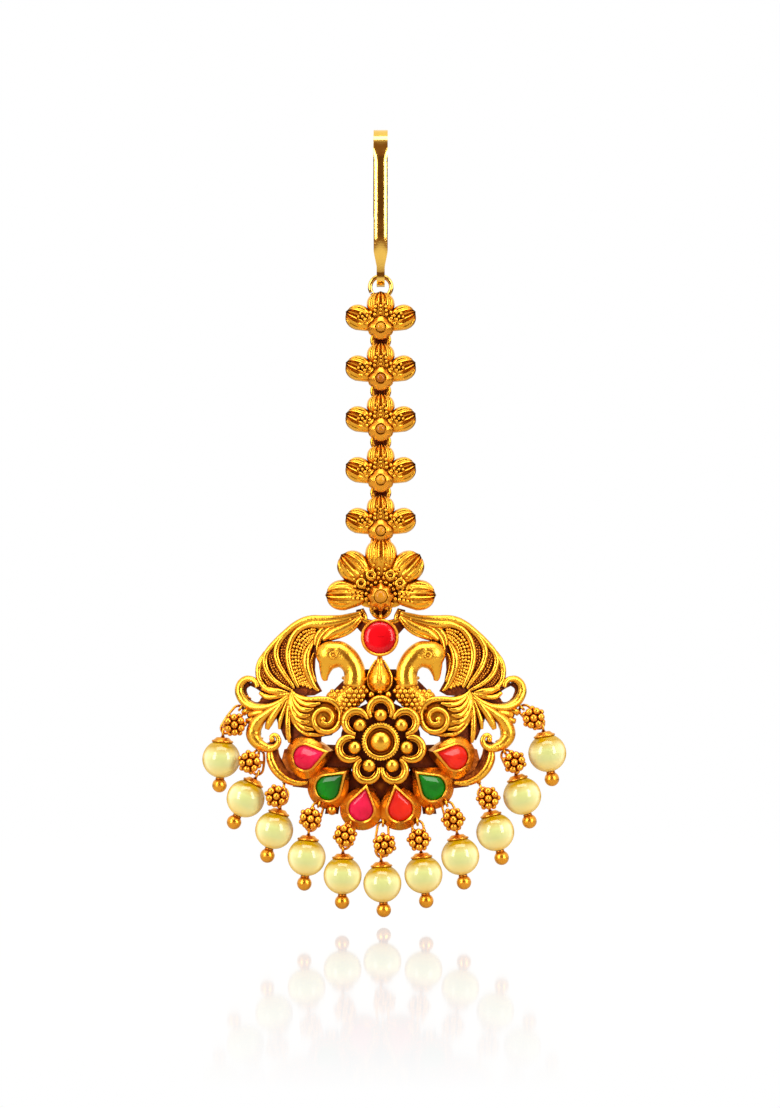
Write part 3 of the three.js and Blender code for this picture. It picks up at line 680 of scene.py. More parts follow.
WEBS = [
    [(4.4, -0.45), (7.8, -0.35), (7.8, -2.2), (4.2, -2.2)],
    [(-1.9, 8.5), (1.8, 8.5), (2.2, 5.5), (1.2, 4.0), (-1.2, 4.0), (-2.2, 5.5)],
    [(8.6, -0.2), (11.4, -1.0), (11.7, -2.2), (10.6, -4.4), (8.4, -3.0)],
    [(3.6, -1.6), (8.2, -2.2), (8.2, -4.6), (3.4, -4.2)],
    [(2.2, -3.6), (5.0, -3.4), (4.8, -7.9), (2.4, -8.2)],
    [(8.0, -3.2), (10.4, -4.2), (10.4, -5.4), (6.6, -5.8)],
    [(6.2, -0.4), (10.6, -0.6), (10.9, -3.0), (9.6, -4.4), (5.0, -2.4)],
    [(5.0, -8.6), (6.6, -8.6), (6.2, -6.4), (4.6, -6.4)],
]

def sawn_block(outline):
    # A tall prism of the outline, to cut the sheet with.
    bpy.ops.mesh.primitive_circle_add(vertices=len(outline), radius=mm, fill_type="NGON")
    block = bpy.context.object
    around = sum(
        a[0] * b[1] - b[0] * a[1] for a, b in zip(outline, outline[1:] + outline[:1]))
    route = outline if around > 0 else outline[::-1]
    for v, (x, z) in zip(block.data.vertices, route):
        v.co = (x * mm, -8 * mm, (z + PENDANT_Z) * mm)
    edit(block)
    bpy.ops.mesh.extrude_region_move(TRANSFORM_OT_translate={"value": (0, 20 * mm, 0)})
    leave_edit()
    face_outward(block)
    return block

def ring_of_points(radius, count, x=0.0, z=0.0):
    steps = [math.radians(360 / count * i) for i in range(count)]
    return [(x + radius * math.cos(a), z + radius * math.sin(a)) for a in steps]

def other_side(outline):
    return [(-x, z) for x, z in outline]

def domed_sheet(thick, lift=0.0):
    bpy.ops.mesh.primitive_grid_add(
        x_subdivisions=76, y_subdivisions=60, size=2, rotation=(math.pi / 2, 0, 0))
    sheet = bpy.context.object
    settle(sheet)
    for v in sheet.data.vertices:
        x, z = v.co.x * 19.0, 3.4 + v.co.z * 15.0
        v.co = [c * mm for c in on_dome(x, z, lift)]
    edit(sheet)
    bpy.ops.mesh.extrude_region_move(TRANSFORM_OT_translate={"value": (0, -thick * mm, 0)})
    leave_edit()
    face_outward(sheet)
    return sheet

def cut_to(sheet, blocks):
    for block in blocks[1:]:
        modified(blocks[0], "BOOLEAN", object=block, operation="UNION", solver="EXACT")
        bpy.data.objects.remove(block)
    modified(sheet, "BOOLEAN", object=blocks[0], operation="INTERSECT", solver="EXACT")
    bpy.data.objects.remove(blocks[0])

blocks = [sawn_block(ring_of_points(4.75, 30))]
blocks += [sawn_block(BRIDGE), sawn_block(FOOT)]
for outline in (TAIL_GROUND, WING_GROUND, BREAST_GROUND, *WEBS):
    blocks += [sawn_block(outline), sawn_block(other_side(outline))]
ground_plate = domed_sheet(PLATE_THICK)
cut_to(ground_plate, blocks)
face_outward(ground_plate)
ground_plate.name = "ground_plate"
rounded(ground_plate, 35)
finish_piece(ground_plate, "pendant", "antique_gold", dark_ground, "pendant_frame")
plain_behind(ground_plate)

# ---- The peacocks' tails ----
# Round-backed ribs of drawn gold, soldered on edge to the ground and meeting at the wing's tip.
# The hollows between them are filled with rows of fine granulation, dark with oxide.

RIB_LIFT = 0.75

def relief_lines(name, lines, lift, smooth=6, sides=3):
    # Each line: x, z and radius rows on the dome, soldered into one piece.
    parts = []
    for rows in lines:
        parts.append(drawn_wire(name, [
            (*on_dome(row[0], row[1], lift + (row[3] if len(row) > 3 else 0)), row[2])
            for row in rows], smooth=smooth, sides=sides))
    return gather(name, parts)

def both_sides(obj, name):
    # The right-hand piece, and its mirror image for the left.
    obj.name = f"{name}_right"
    twin = obj.copy()
    twin.data = obj.data.copy()
    twin.name = f"{name}_left"
    bpy.context.collection.objects.link(twin)
    for v in twin.data.vertices:
        v.co.x = -v.co.x
    edit(twin)
    bpy.ops.mesh.flip_normals()
    leave_edit()
    return obj, twin

def finish_both(obj, name, material):
    pair = both_sides(obj, name)
    for side in pair:
        finish_piece(side, "pendant", "antique_gold", material)
    return pair

TAIL_RIBS = {
    "top_edge": [
        (2.3, 15.15, 0.2), (4.2, 14.6, 0.34), (6.4, 14.4, 0.42), (8.5, 14.35, 0.42),
        (9.9, 13.8, 0.38), (11.1, 12.9, 0.34), (12.4, 11.7, 0.32), (13.5, 10.4, 0.3),
        (14.2, 9.1, 0.26), (14.5, 7.7, 0.18)],
    "upper_strand": [
        (2.3, 15.0, 0.14), (3.3, 14.35, 0.22), (4.9, 13.75, 0.24), (6.1, 13.2, 0.26),
        (7.0, 12.3, 0.26), (7.4, 11.2, 0.24), (7.5, 10.2, 0.14)],
    "lower_strand": [
        (2.2, 14.7, 0.18), (2.9, 13.7, 0.26), (3.8, 12.95, 0.3), (5.0, 12.4, 0.28),
        (6.1, 12.0, 0.2)],
    "middle_strand": [
        (2.3, 14.85, 0.2), (3.2, 14.0, 0.42), (4.4, 13.3, 0.5), (5.8, 12.7, 0.5),
        (6.8, 11.9, 0.3)],
    "shoulder": [
        (3.4, 14.4, 0.2), (5.0, 14.05, 0.38), (6.7, 13.8, 0.46), (8.2, 13.85, 0.4),
        (9.4, 13.4, 0.28)],
    "throat": [
        (6.1, 13.5, 0.16), (7.0, 13.0, 0.34), (7.55, 12.2, 0.3), (7.75, 11.3, 0.2)],
    "rib_1": [
        (6.9, 13.3, 0.16), (7.9, 13.65, 0.26), (9.1, 13.5, 0.32), (10.1, 12.7, 0.34),
        (10.75, 11.4, 0.34), (10.95, 10.0, 0.34), (10.7, 8.6, 0.32), (10.2, 7.3, 0.26),
        (9.7, 6.3, 0.14)],
    "rib_2": [
        (9.9, 13.5, 0.16), (11.0, 12.8, 0.28), (11.9, 11.8, 0.34), (12.35, 10.6, 0.34),
        (12.15, 9.3, 0.32), (11.5, 8.1, 0.3), (10.7, 7.0, 0.24), (10.2, 6.2, 0.12)],
    "rib_3": [
        (12.2, 12.0, 0.16), (13.1, 11.0, 0.28), (13.65, 9.9, 0.32), (13.6, 8.7, 0.32),
        (13.0, 7.6, 0.3), (12.1, 6.8, 0.26), (11.1, 6.25, 0.2), (10.4, 5.95, 0.1)],
    "rib_4": [
        (13.7, 10.5, 0.16), (14.35, 9.2, 0.28), (14.5, 8.0, 0.3), (14.2, 6.9, 0.3),
        (13.4, 6.1, 0.28), (12.3, 5.6, 0.24), (11.2, 5.5, 0.18), (10.4, 5.7, 0.1)],
}
tail_ribs = relief_lines("tail_ribs", [
    [(x, z, radius * 1.18) for x, z, radius in rows] for rows in TAIL_RIBS.values()], RIB_LIFT)
INNER_LEAF = [
    [(7.75, 12.1, 0.1, 0), (8.3, 11.2, 0.34, 0.1), (8.75, 10.0, 0.5, 0.2), (8.75, 8.7, 0.5, 0.2),
     (8.35, 7.5, 0.42, 0.1), (7.8, 6.4, 0.3, 0), (7.3, 5.9, 0.16, 0)],
    [(7.9, 10.4, 0.12, 0), (8.2, 9.4, 0.22, 0), (8.1, 8.2, 0.22, 0), (7.7, 7.0, 0.18, 0)],
]
inner_leaf = relief_lines("inner_leaf", INNER_LEAF, 0.6)
tail_ribs = gather("tail_ribs", [tail_ribs, inner_leaf])
finish_both(tail_ribs, "tail_ribs", antique_gold)

def along_line(rows, t):
    # A place part of the way along a line, as if the rows were evenly spaced.
    reach = t * (len(rows) - 1)
    i = min(int(reach), len(rows) - 2)
    part = reach - i
    return [rows[i][k] + (rows[i + 1][k] - rows[i][k]) * part for k in (0, 1)]

def grained(name, places, lift):
    # Grains are copied from one small ball and soldered down together.
    bpy.ops.mesh.primitive_ico_sphere_add(subdivisions=2, radius=mm)
    grain = bpy.context.object
    bpy.ops.object.shade_smooth()
    grains = []
    for x, z, radius in places:
        one = grain.copy()
        one.data = grain.data.copy()
        bpy.context.collection.objects.link(one)
        one.scale = (radius, radius, radius)
        one.location = [c * mm for c in on_dome(x, z, lift)]
        grains.append(one)
    bpy.data.objects.remove(grain)
    whole = gather(name, grains)
    settle(whole)
    return whole

GRAINS_A_ROW = 21
INNER_ROWS = (0.3, 0.47, 0.64, 0.8)

tail_grains = []
ribs = TAIL_RIBS
for inner, outer, rows, first, last in (
    (INNER_LEAF[0], ribs["rib_1"], INNER_ROWS, 0.1, 0.93),
    (ribs["rib_1"], ribs["rib_2"], (0.38, 0.62), 0.2, 0.88),
    (ribs["rib_2"], ribs["rib_3"], (0.38, 0.62), 0.2, 0.86),
    (ribs["rib_3"], ribs["rib_4"], (0.4, 0.62), 0.22, 0.84),
):
    for share in rows:
        for i in range(GRAINS_A_ROW):
            t = first + (last - first) * i / (GRAINS_A_ROW - 1)
            a, b = along_line(inner, t), along_line(outer, t)
            x = a[0] + (b[0] - a[0]) * share + random.uniform(-0.04, 0.04)
            z = a[1] + (b[1] - a[1]) * share + random.uniform(-0.04, 0.04)
            gap = math.hypot(b[0] - a[0], b[1] - a[1])
            tail_grains.append((x, z, min(0.24, 0.12 * gap + 0.06)))
grain_gold = worked_gold(
    "granulation", (0.7, 0.34, 0.03), (0.32, 0.07, 0.006), 0.4, 0.35, 0.9, 3600, 0.24, 0.2)
inner_count = len(INNER_ROWS) * GRAINS_A_ROW
for name, places, height, finish in (
    ("inner_grains", tail_grains[:inner_count], 0.12, antique_gold),
    ("tail_grains", tail_grains[inner_count:], 0.0, grain_gold),
):
    grains = grained(name, places, PLATE_THICK + height)
    finish_both(grains, name, finish)

# ---- The peacocks ----
# Head, beak and neck are one smooth casting that ends in a plain collar. The breast below it is
# covered with granulation, and the eye is a small ring round a pit.

def blended(obj, size, smooth_steps=6):
    # Melts overlapping forms into one skin.
    modified(obj, "REMESH", mode="VOXEL", voxel_size=size * mm)
    modified(obj, "SMOOTH", factor=0.6, iterations=smooth_steps)
    face_outward(obj)
    only(obj)
    bpy.ops.object.shade_smooth()

def ovoid(x, z, lift, wide, deep, tall, turn=0):
    bpy.ops.mesh.primitive_uv_sphere_add(segments=32, ring_count=20, radius=mm)
    egg = bpy.context.object
    egg.scale = (wide, deep, tall)
    egg.rotation_euler = (0, math.radians(turn), 0)
    egg.location = [c * mm for c in on_dome(x, z, lift)]
    settle(egg)
    return egg

bird_parts = [
    ovoid(5.8, 10.2, 1.0, 1.85, 1.3, 1.65),
    relief_lines("neck", [[
        (6.2, 10.5, 1.1), (5.0, 10.5, 1.4), (4.05, 9.85, 1.42), (3.35, 9.0, 1.3),
        (3.05, 8.1, 1.3), (3.05, 7.2, 1.35), (3.2, 6.4, 1.3)]], 0.85, smooth=10, sides=6),
    relief_lines("beak", [[
        (6.1, 9.7, 1.15), (6.4, 8.9, 0.95), (6.55, 8.2, 0.66), (6.6, 7.6, 0.46),
        (6.5, 7.1, 0.28)]], 0.85, smooth=8, sides=6),
]
bird = gather("bird", bird_parts)
blended(bird, 0.13, 5)
collar = relief_lines("collar", [[
    (1.6, 7.45, 0.2), (2.2, 7.2, 0.26, 0.7), (3.0, 7.1, 0.26, 1.15), (3.8, 7.2, 0.26, 0.8),
    (4.45, 7.5, 0.2)]], 0.75)
eye_rim = jump_ring("eye_rim", 0.38, 0.13, on_dome(5.6, 10.15, 2.2), 20)
eye_ball = bead(*on_dome(5.6, 10.15, 2.14), 0.18)
cheek_line = relief_lines("cheek", [[
    (6.9, 9.6, 0.1), (6.6, 9.1, 0.15, 0.15), (6.1, 8.8, 0.15, 0.3), (5.6, 8.9, 0.1, 0.1)]], 1.25)
bird = gather("bird", [bird, collar, eye_rim, eye_ball, cheek_line])
finish_both(bird, "peacock_head", antique_gold)

breast = gather("breast", [
    ovoid(3.0, 5.9, 0.5, 1.55, 1.25, 1.7, 0),
    ovoid(4.1, 4.7, 0.5, 1.5, 1.15, 1.55, 30),
    ovoid(5.3, 5.2, 0.4, 1.2, 0.8, 0.9, 0),
])
blended(breast, 0.16, 4)
breast_grains = []
for i in range(9):
    for k in range(8):
        x = 1.75 + 0.56 * i + (0.28 if k % 2 else 0) + random.uniform(-0.07, 0.07)
        z = 6.9 - 0.5 * k + random.uniform(-0.07, 0.07)
        deep = None
        for centre_x, centre_z, wide, tall, depth in (
            (3.0, 5.9, 1.5, 1.65, 1.75), (4.1, 4.7, 1.45, 1.5, 1.65), (5.3, 5.2, 1.15, 0.85, 1.2),
        ):
            away = ((x - centre_x) / wide) ** 2 + ((z - centre_z) / tall) ** 2
            if away < 0.97:
                rise = 0.5 + (depth - 0.5) * math.sqrt(1 - away)
                deep = max(deep or 0, rise)
        if deep:
            jitter = random.uniform(0.88, 1.12)
            breast_grains.append((x, z, deep - 0.02, 0.3 * jitter))
studs = [bead(*on_dome(x, z, lift), radius) for x, z, lift, radius in breast_grains]
breast = gather("breast", [breast, *studs])
finish_both(breast, "peacock_breast", antique_gold)

# ---- The wings ----
# A swelling body with ridges that sweep from a coiled shoulder to one sharp tip, and a boss in
# the coil. It is cast with the bird's body and filed smooth.

wing_body = gather("wing_body", [
    ovoid(8.1, 3.0, 0.3, 2.7, 0.92, 2.1, 0),
    ovoid(9.4, 4.0, 0.3, 1.9, 0.78, 1.5, -35),
    ovoid(6.5, 2.8, 0.25, 2.15, 0.85, 2.15, 0),
])
blended(wing_body, 0.16, 4)
WING_RIDGES = [
    [(4.8, 2.4, 0.34, 0.1), (4.75, 3.6, 0.36, 0.1), (5.6, 4.7, 0.38, 0.15),
     (7.0, 5.0, 0.34, 0.15), (8.6, 4.95, 0.34, 0.1), (9.8, 5.3, 0.26, 0), (10.6, 6.0, 0.1, -0.2)],
    [(7.1, 4.5, 0.14, 0.25), (8.2, 4.3, 0.34, 0.4), (9.4, 4.6, 0.3, 0.2), (10.6, 5.95, 0.1, -0.2)],
    [(7.9, 3.85, 0.16, 0.3), (8.9, 3.7, 0.36, 0.45), (9.8, 4.15, 0.3, 0.2),
     (10.6, 5.9, 0.1, -0.2)],
    [(8.35, 3.1, 0.16, 0.3), (9.2, 3.0, 0.36, 0.4), (10.0, 3.65, 0.3, 0.15),
     (10.65, 5.8, 0.1, -0.2)],
    [(8.4, 2.3, 0.16, 0.3), (9.3, 2.3, 0.35, 0.3), (10.2, 3.1, 0.28, 0.1),
     (10.7, 5.7, 0.1, -0.2)],
    [(7.9, 1.4, 0.16, 0.2), (8.9, 1.55, 0.34, 0.15), (9.95, 2.45, 0.28, 0),
     (10.55, 3.8, 0.22, -0.05), (10.75, 5.5, 0.1, -0.2)],
    [(6.6, 0.8, 0.14, 0), (7.9, 0.75, 0.28, 0), (9.1, 1.05, 0.28, 0), (10.1, 2.0, 0.24, -0.1),
     (10.7, 3.6, 0.16, -0.15)],
]
wing_ridges = relief_lines("wing_ridges", WING_RIDGES, 1.05, smooth=8)
coil_rows = []
for i in range(18):
    angle = math.radians(190 + 29 * i)
    reach = 1.8 - 0.078 * i
    coil_rows.append((
        6.55 + reach * math.cos(angle), 2.7 + reach * math.sin(angle),
        0.36 - 0.008 * i, 0.1 + 0.014 * i))
wing_coil = relief_lines("wing_coil", [coil_rows], 1.12, smooth=4)
wing_boss = ovoid(6.75, 2.6, 1.1, 0.4, 0.4, 0.4)
only(wing_boss)
bpy.ops.object.shade_smooth()
wing = gather("wing", [wing_body, wing_ridges, wing_coil, wing_boss])
finish_both(wing, "wing", antique_gold)

# ---- The scrolls ----
# Curling leaves behind the wing, each a tapering rim soldered over a hollowed ground, with
# finger leaves between them and a broad band that returns under the stones.

SCROLL_RIMS = [
    [(10.8, 5.5, 0.14, 0), (12.2, 4.45, 0.3, 0), (13.9, 3.95, 0.38, 0), (15.5, 4.15, 0.44, 0),
     (16.5, 5.1, 0.46, 0), (16.75, 6.2, 0.42, 0), (16.25, 7.1, 0.36, 0.05),
     (15.4, 7.3, 0.3, 0.1), (14.75, 6.9, 0.26, 0.15), (14.6, 6.35, 0.26, 0.2)],
    [(10.8, 5.2, 0.14, 0), (12.2, 4.1, 0.28, 0.1), (13.7, 3.0, 0.46, 0.1), (14.7, 2.0, 0.68, 0.05),
     (15.05, 0.8, 0.74, 0.0), (14.7, -0.1, 0.62, 0.05), (13.85, -0.7, 0.48, 0.1),
     (12.9, -0.85, 0.38, 0.1), (12.2, -0.4, 0.3, 0.15), (12.1, 0.3, 0.25, 0.2),
     (12.6, 0.7, 0.22, 0.25), (13.0, 0.35, 0.24, 0.3)],
    [(13.1, -1.0, 0.3, -0.2), (13.0, -2.1, 0.44, -0.2), (12.6, -3.1, 0.46, -0.2),
     (11.9, -4.0, 0.42, -0.2), (10.9, -4.7, 0.36, -0.2), (9.7, -5.0, 0.28, -0.2),
     (8.6, -4.9, 0.2, -0.2)],
]
FINGER_LEAVES = [
    [(11.0, 5.7, 0.14, 0), (12.0, 5.85, 0.34, 0.1), (13.0, 5.95, 0.4, 0.1), (14.0, 6.3, 0.3, 0)],
    [(11.3, 5.35, 0.12, 0), (12.5, 5.2, 0.28, 0.05), (13.6, 5.25, 0.32, 0.05),
     (14.3, 5.7, 0.2, 0)],
    [(13.0, 3.35, 0.16, -0.1), (14.0, 3.35, 0.34, 0), (14.9, 3.2, 0.4, 0), (15.6, 2.95, 0.3, 0)],
    [(15.2, 3.5, 0.2, -0.1), (15.9, 3.5, 0.36, 0), (16.3, 3.2, 0.3, 0)],
    [(14.6, 2.75, 0.2, -0.1), (15.3, 2.45, 0.34, 0), (15.9, 2.3, 0.3, 0)],
    [(11.2, 4.95, 0.12, 0.1), (12.0, 3.95, 0.34, 0.2), (12.75, 2.85, 0.42, 0.2),
     (13.25, 1.95, 0.38, 0.15), (13.45, 1.4, 0.24, 0.1)],
    [(10.75, 4.9, 0.14, 0.1), (10.9, 3.4, 0.3, 0.2), (10.95, 1.9, 0.34, 0.2),
     (10.85, 0.5, 0.3, 0.1), (10.75, -0.2, 0.16, 0)],
    [(11.0, 4.8, 0.12, 0.1), (11.5, 3.4, 0.26, 0.1), (11.85, 2.3, 0.28, 0.1),
     (11.95, 1.4, 0.16, 0)],
]
scroll_rims = relief_lines("scroll_rims", [
    [(x, z, radius * 1.25, rise) for x, z, radius, rise in rows] for rows in SCROLL_RIMS], 0.7,
    smooth=8, sides=5)
finger_leaves = relief_lines("finger_leaves", [
    [(x, z, radius * 1.15, rise) for x, z, radius, rise in rows] for rows in FINGER_LEAVES], 0.7,
    smooth=8)
scrolls = gather("scrolls", [
    scroll_rims, finger_leaves, bead(*on_dome(12.85, 0.2, 1.0), 0.34, True)])
finish_both(scrolls, "scrolls", antique_gold)
SCROLL_GROUNDS = [
    [(10.6, 5.6, 0.3), (12.0, 5.2, 0.7), (13.4, 4.85, 0.7), (14.4, 4.2, 0.4), (15.4, 4.4, 0.4),
     (16.2, 5.3, 0.5), (16.3, 6.3, 0.5), (15.6, 6.9, 0.45)],
    [(13.4, 5.6, 0.4), (14.4, 6.4, 0.4), (15.2, 6.8, 0.4)],
    [(13.2, 3.6, 0.3), (14.6, 3.3, 0.6), (15.6, 2.9, 0.6)],
    [(10.7, 5.2, 0.4), (11.3, 4.0, 0.85), (11.5, 2.7, 0.85), (11.3, 1.4, 0.5), (10.9, 0.2, 0.4)],
    [(12.6, 4.0, 0.3), (13.8, 3.0, 0.4), (14.8, 1.8, 0.55), (15.1, 0.7, 0.55),
     (14.4, -0.4, 0.5), (13.0, -0.6, 0.5), (12.6, 0.1, 0.45)],
    [(12.6, -0.9, 0.5), (12.5, -2.0, 0.66), (12.0, -3.1, 0.8), (11.1, -4.0, 0.8),
     (10.0, -4.5, 0.7), (8.9, -4.7, 0.5)],
]
scroll_ground = relief_lines("scroll_ground", SCROLL_GROUNDS, 0.3, smooth=8)
for v in scroll_ground.data.vertices:
    # The ground strips are hammered flat.
    middle = (dome(v.co.x / mm, v.co.z / mm - PENDANT_Z) - 0.3) * mm
    v.co.y = middle + (v.co.y - middle) * 0.5
for side in finish_both(scroll_ground, "scroll_ground", dark_ground):
    plain_behind(side)

# ---- The big flower ----
# Seven crescent petals, each raised round a ball in a dark hollow, about a ring with a domed
# boss. The crescents are stepped: a fine inner wire lies against the heavy rim.

PETALS = 7
PETAL_AT = 3.7
FLOWER_LIFT = 0.95

flower_blocks = [sawn_block(ring_of_points(4.5, 30))]
for k in range(PETALS):
    swing = math.radians(90 + 360 / PETALS * k)
    flower_blocks.append(sawn_block(ring_of_points(
        1.45, 16, PETAL_AT * math.cos(swing), PETAL_AT * math.sin(swing))))
flower_floor = domed_sheet(0.7, 0.3)
cut_to(flower_floor, flower_blocks)
face_outward(flower_floor)
flower_floor.name = "flower_floor"
rounded(flower_floor, 35)
finish_piece(flower_floor, "pendant", "antique_gold", dark_ground)

flower_parts = []
for k in range(PETALS):
    swing = math.radians(90 + 360 / PETALS * k)
    middle = (PETAL_AT * math.cos(swing), PETAL_AT * math.sin(swing))
    for reach, heavy, rise, spread in (
        (1.38, 0.42, 0.9, 126), (0.98, 0.16, 0.75, 112), (1.5, 0.3, 0.45, 128),
    ):
        rows = []
        for i in range(15):
            part = i / 7 - 1
            angle = swing + math.radians(spread * part)
            rows.append((
                middle[0] + reach * math.cos(angle), middle[1] + reach * math.sin(angle),
                heavy * (0.45 + 0.55 * (1 - part * part) ** 0.5), 0))
        flower_parts.append(relief_lines("crescent", [rows], FLOWER_LIFT + rise, smooth=3))
    dot = bead(*on_dome(3.1 * math.cos(swing), 3.1 * math.sin(swing), FLOWER_LIFT + 0.7), 0.84, True)
    flower_parts.append(dot)

def relief_ring(reach, heavy, lift, flat=1.0):
    bpy.ops.mesh.primitive_torus_add(
        major_radius=reach * mm, minor_radius=heavy * mm, major_segments=64, minor_segments=14,
        rotation=(math.pi / 2, 0, 0))
    band = bpy.context.object
    settle(band)
    for v in band.data.vertices:
        v.co.y *= flat
    band.location = [c * mm for c in on_dome(0.0, 0.0, lift)]
    settle(band)
    bpy.ops.object.shade_smooth()
    return band

flower_parts += [
    relief_ring(1.88, 0.27, FLOWER_LIFT + 1.0),
    relief_ring(1.88, 0.33, FLOWER_LIFT + 0.6, flat=1.6),
    relief_ring(1.42, 0.12, FLOWER_LIFT + 0.6),
    ovoid(0, 0, FLOWER_LIFT + 0.45, 1.36, 1.15, 1.36),
]
for i in range(40):
    # A beaded wire runs round the ring.
    swing = math.radians(9 * i)
    flower_parts.append(bead(
        *on_dome(2.1 * math.cos(swing), 2.1 * math.sin(swing), FLOWER_LIFT + 1.12), 0.17))
big_flower = gather("big_flower", flower_parts)
rounded(big_flower, 60)
finish_piece(big_flower, "pendant", "antique_gold", antique_gold)

# ---- The bud ----
# A three-lobed bud under the round stone, with a stem and two grains at its foot.

bud_parts = [
    relief_lines("bulb", [[
        (-0.1, 10.0, 0.3), (-0.12, 9.2, 0.5), (-0.15, 8.4, 0.95), (-0.15, 7.6, 1.3),
        (-0.15, 6.8, 1.28), (-0.15, 6.1, 0.85), (-0.15, 5.7, 0.5)]], 0.7, smooth=10, sides=8),
    relief_lines("crest", [[
        (-0.12, 9.6, 0.12, 0.35), (-0.15, 8.4, 0.18, 0.9), (-0.15, 7.5, 0.2, 1.28),
        (-0.15, 6.7, 0.14, 1.2)]], 0.7),
    bead(*on_dome(-1.1, 5.5, 1.0), 0.4, True),
    bead(*on_dome(0.9, 5.5, 1.0), 0.4, True),
    bead(*on_dome(-0.1, 5.85, 1.05), 0.34, True),
    relief_lines("bud_rim", [
        [(-0.55, 9.6, 0.12), (-1.2, 8.4, 0.2), (-1.5, 7.4, 0.24), (-1.1, 6.2, 0.2), (-0.3, 5.8, 0.2)],
        [(0.3, 9.6, 0.12), (0.95, 8.4, 0.2), (1.25, 7.4, 0.24), (0.85, 6.2, 0.2), (0.1, 5.8, 0.2)],
    ], 0.85),
]
bud = gather("bud", bud_parts)
rounded(bud, 60)
finish_piece(bud, "pendant", "antique_gold", antique_gold)

# ---- The stones and their bezels ----
# Glass stones, low domes with a sloped edge, sit in rubbed-over bezels. Six
# teardrops fan out under the flower, on flared collars, and a round one tops the bud.

TEARDROPS = [
    (2.15, -7.55, -77), (5.75, -5.2, -42), (8.3, -1.8, -14),
]
DROP_ROUND = 1.38
DROP_TIP = 2.55
FACETS = 44

def pear(radius, tip, shift=0.0):
    # Round end about the origin, tip behind it: it points along +x.
    open_angle = math.acos(min(1, radius / tip))
    points = []
    for i in range(FACETS):
        angle = 2 * math.pi * i / FACETS
        turn = (angle + math.pi) % (2 * math.pi) - math.pi
        if abs(turn) <= math.pi - open_angle:
            x, z = radius * math.cos(turn), radius * math.sin(turn)
        else:
            # Along the straight flank, by the share of the angle that is left.
            left = (math.pi - abs(turn)) / open_angle
            edge = math.pi - open_angle
            x = -tip + (radius * math.cos(edge) + tip) * left
            z = radius * math.sin(edge) * left * math.copysign(1, turn)
        points.append((x + shift, z))
    return points

def round_outline(radius):
    return [(radius * math.cos(2 * math.pi * i / FACETS), radius * math.sin(2 * math.pi * i / FACETS))
            for i in range(FACETS)]

def lofted(name, levels):
    # Stacks outlines of one count from the back to the front: each is (outline, height).
    bpy.ops.mesh.primitive_circle_add(vertices=FACETS, radius=mm, fill_type="NGON")
    form = bpy.context.object
    form.name = name
    for v, (x, z) in zip(form.data.vertices, levels[0][0]):
        v.co = (x * mm, -levels[0][1] * mm, z * mm)
    for outline, height in levels[1:]:
        only(form)
        bpy.ops.object.mode_set(mode="EDIT")
        bpy.ops.mesh.extrude_region_move()
        leave_edit()
        fresh = [v for v in form.data.vertices if v.select]
        for v, (x, z) in zip(fresh, outline):
            v.co = (x * mm, -height * mm, z * mm)
    face_outward(form)
    return form

def seated(obj, x, z, points, cant=0.0):
    # Turns the form the way that it points and lays it on the dome, tipped outward by the cant.
    slope = Vector((8.0 * x / 17 ** 2, -1, 1.8 * z / 14 ** 2)).normalized()
    outward = Vector((math.cos(math.radians(points)), 0, math.sin(math.radians(points))))
    slope = (slope + outward * math.tan(math.radians(cant))).normalized()
    lean = Vector((0, -1, 0)).rotation_difference(slope).to_matrix().to_4x4()
    turn = Matrix.Rotation(-math.radians(points), 4, "Y")
    place = Matrix.Translation([c * mm for c in on_dome(x, z, 0)])
    obj.data.transform(place @ lean @ turn)

def bezel_form(name, foot, rim, hole, height, floor):
    crest = [((a[0] + b[0]) / 2, (a[1] + b[1]) / 2) for a, b in zip(rim, hole)]
    form = lofted(name, [
        foot, (foot[0], foot[1] + 0.85), (rim, height * 0.74), (rim, height - 0.14),
        (crest, height), (hole, height - 0.14), (hole, floor)])
    modified(form, "BEVEL", width=0.09 * mm, segments=3, limit_method="ANGLE")
    rounded(form, 60)
    return form

def shrunk(outline, part):
    return [(x * part, z * part) for x, z in outline]

def stone_form(name, girdle, table, floor, height):
    form = lofted(name, [
        (girdle, floor), (girdle, height - 0.34), (table, height - 0.06),
        (shrunk(table, 0.72), height), (shrunk(table, 0.3), height + 0.03)])
    rounded(form, 30)
    return form

ruby_glass = polished_stone("ruby_glass", (0.42, 0.001, 0.004), (0.74, 0.004, 0.01), 0.1)
red_glass = polished_stone("red_glass", (0.55, 0.006, 0.002), (0.85, 0.03, 0.004), 0.1)
pink_glass = polished_stone("pink_glass", (0.5, 0.001, 0.025), (0.85, 0.01, 0.08), 0.08)
green_glass = polished_stone("green_glass", (0.0, 0.06, 0.0), (0.0, 0.21, 0.002), 0.06)

def flank(extra):
    return extra * DROP_TIP / DROP_ROUND

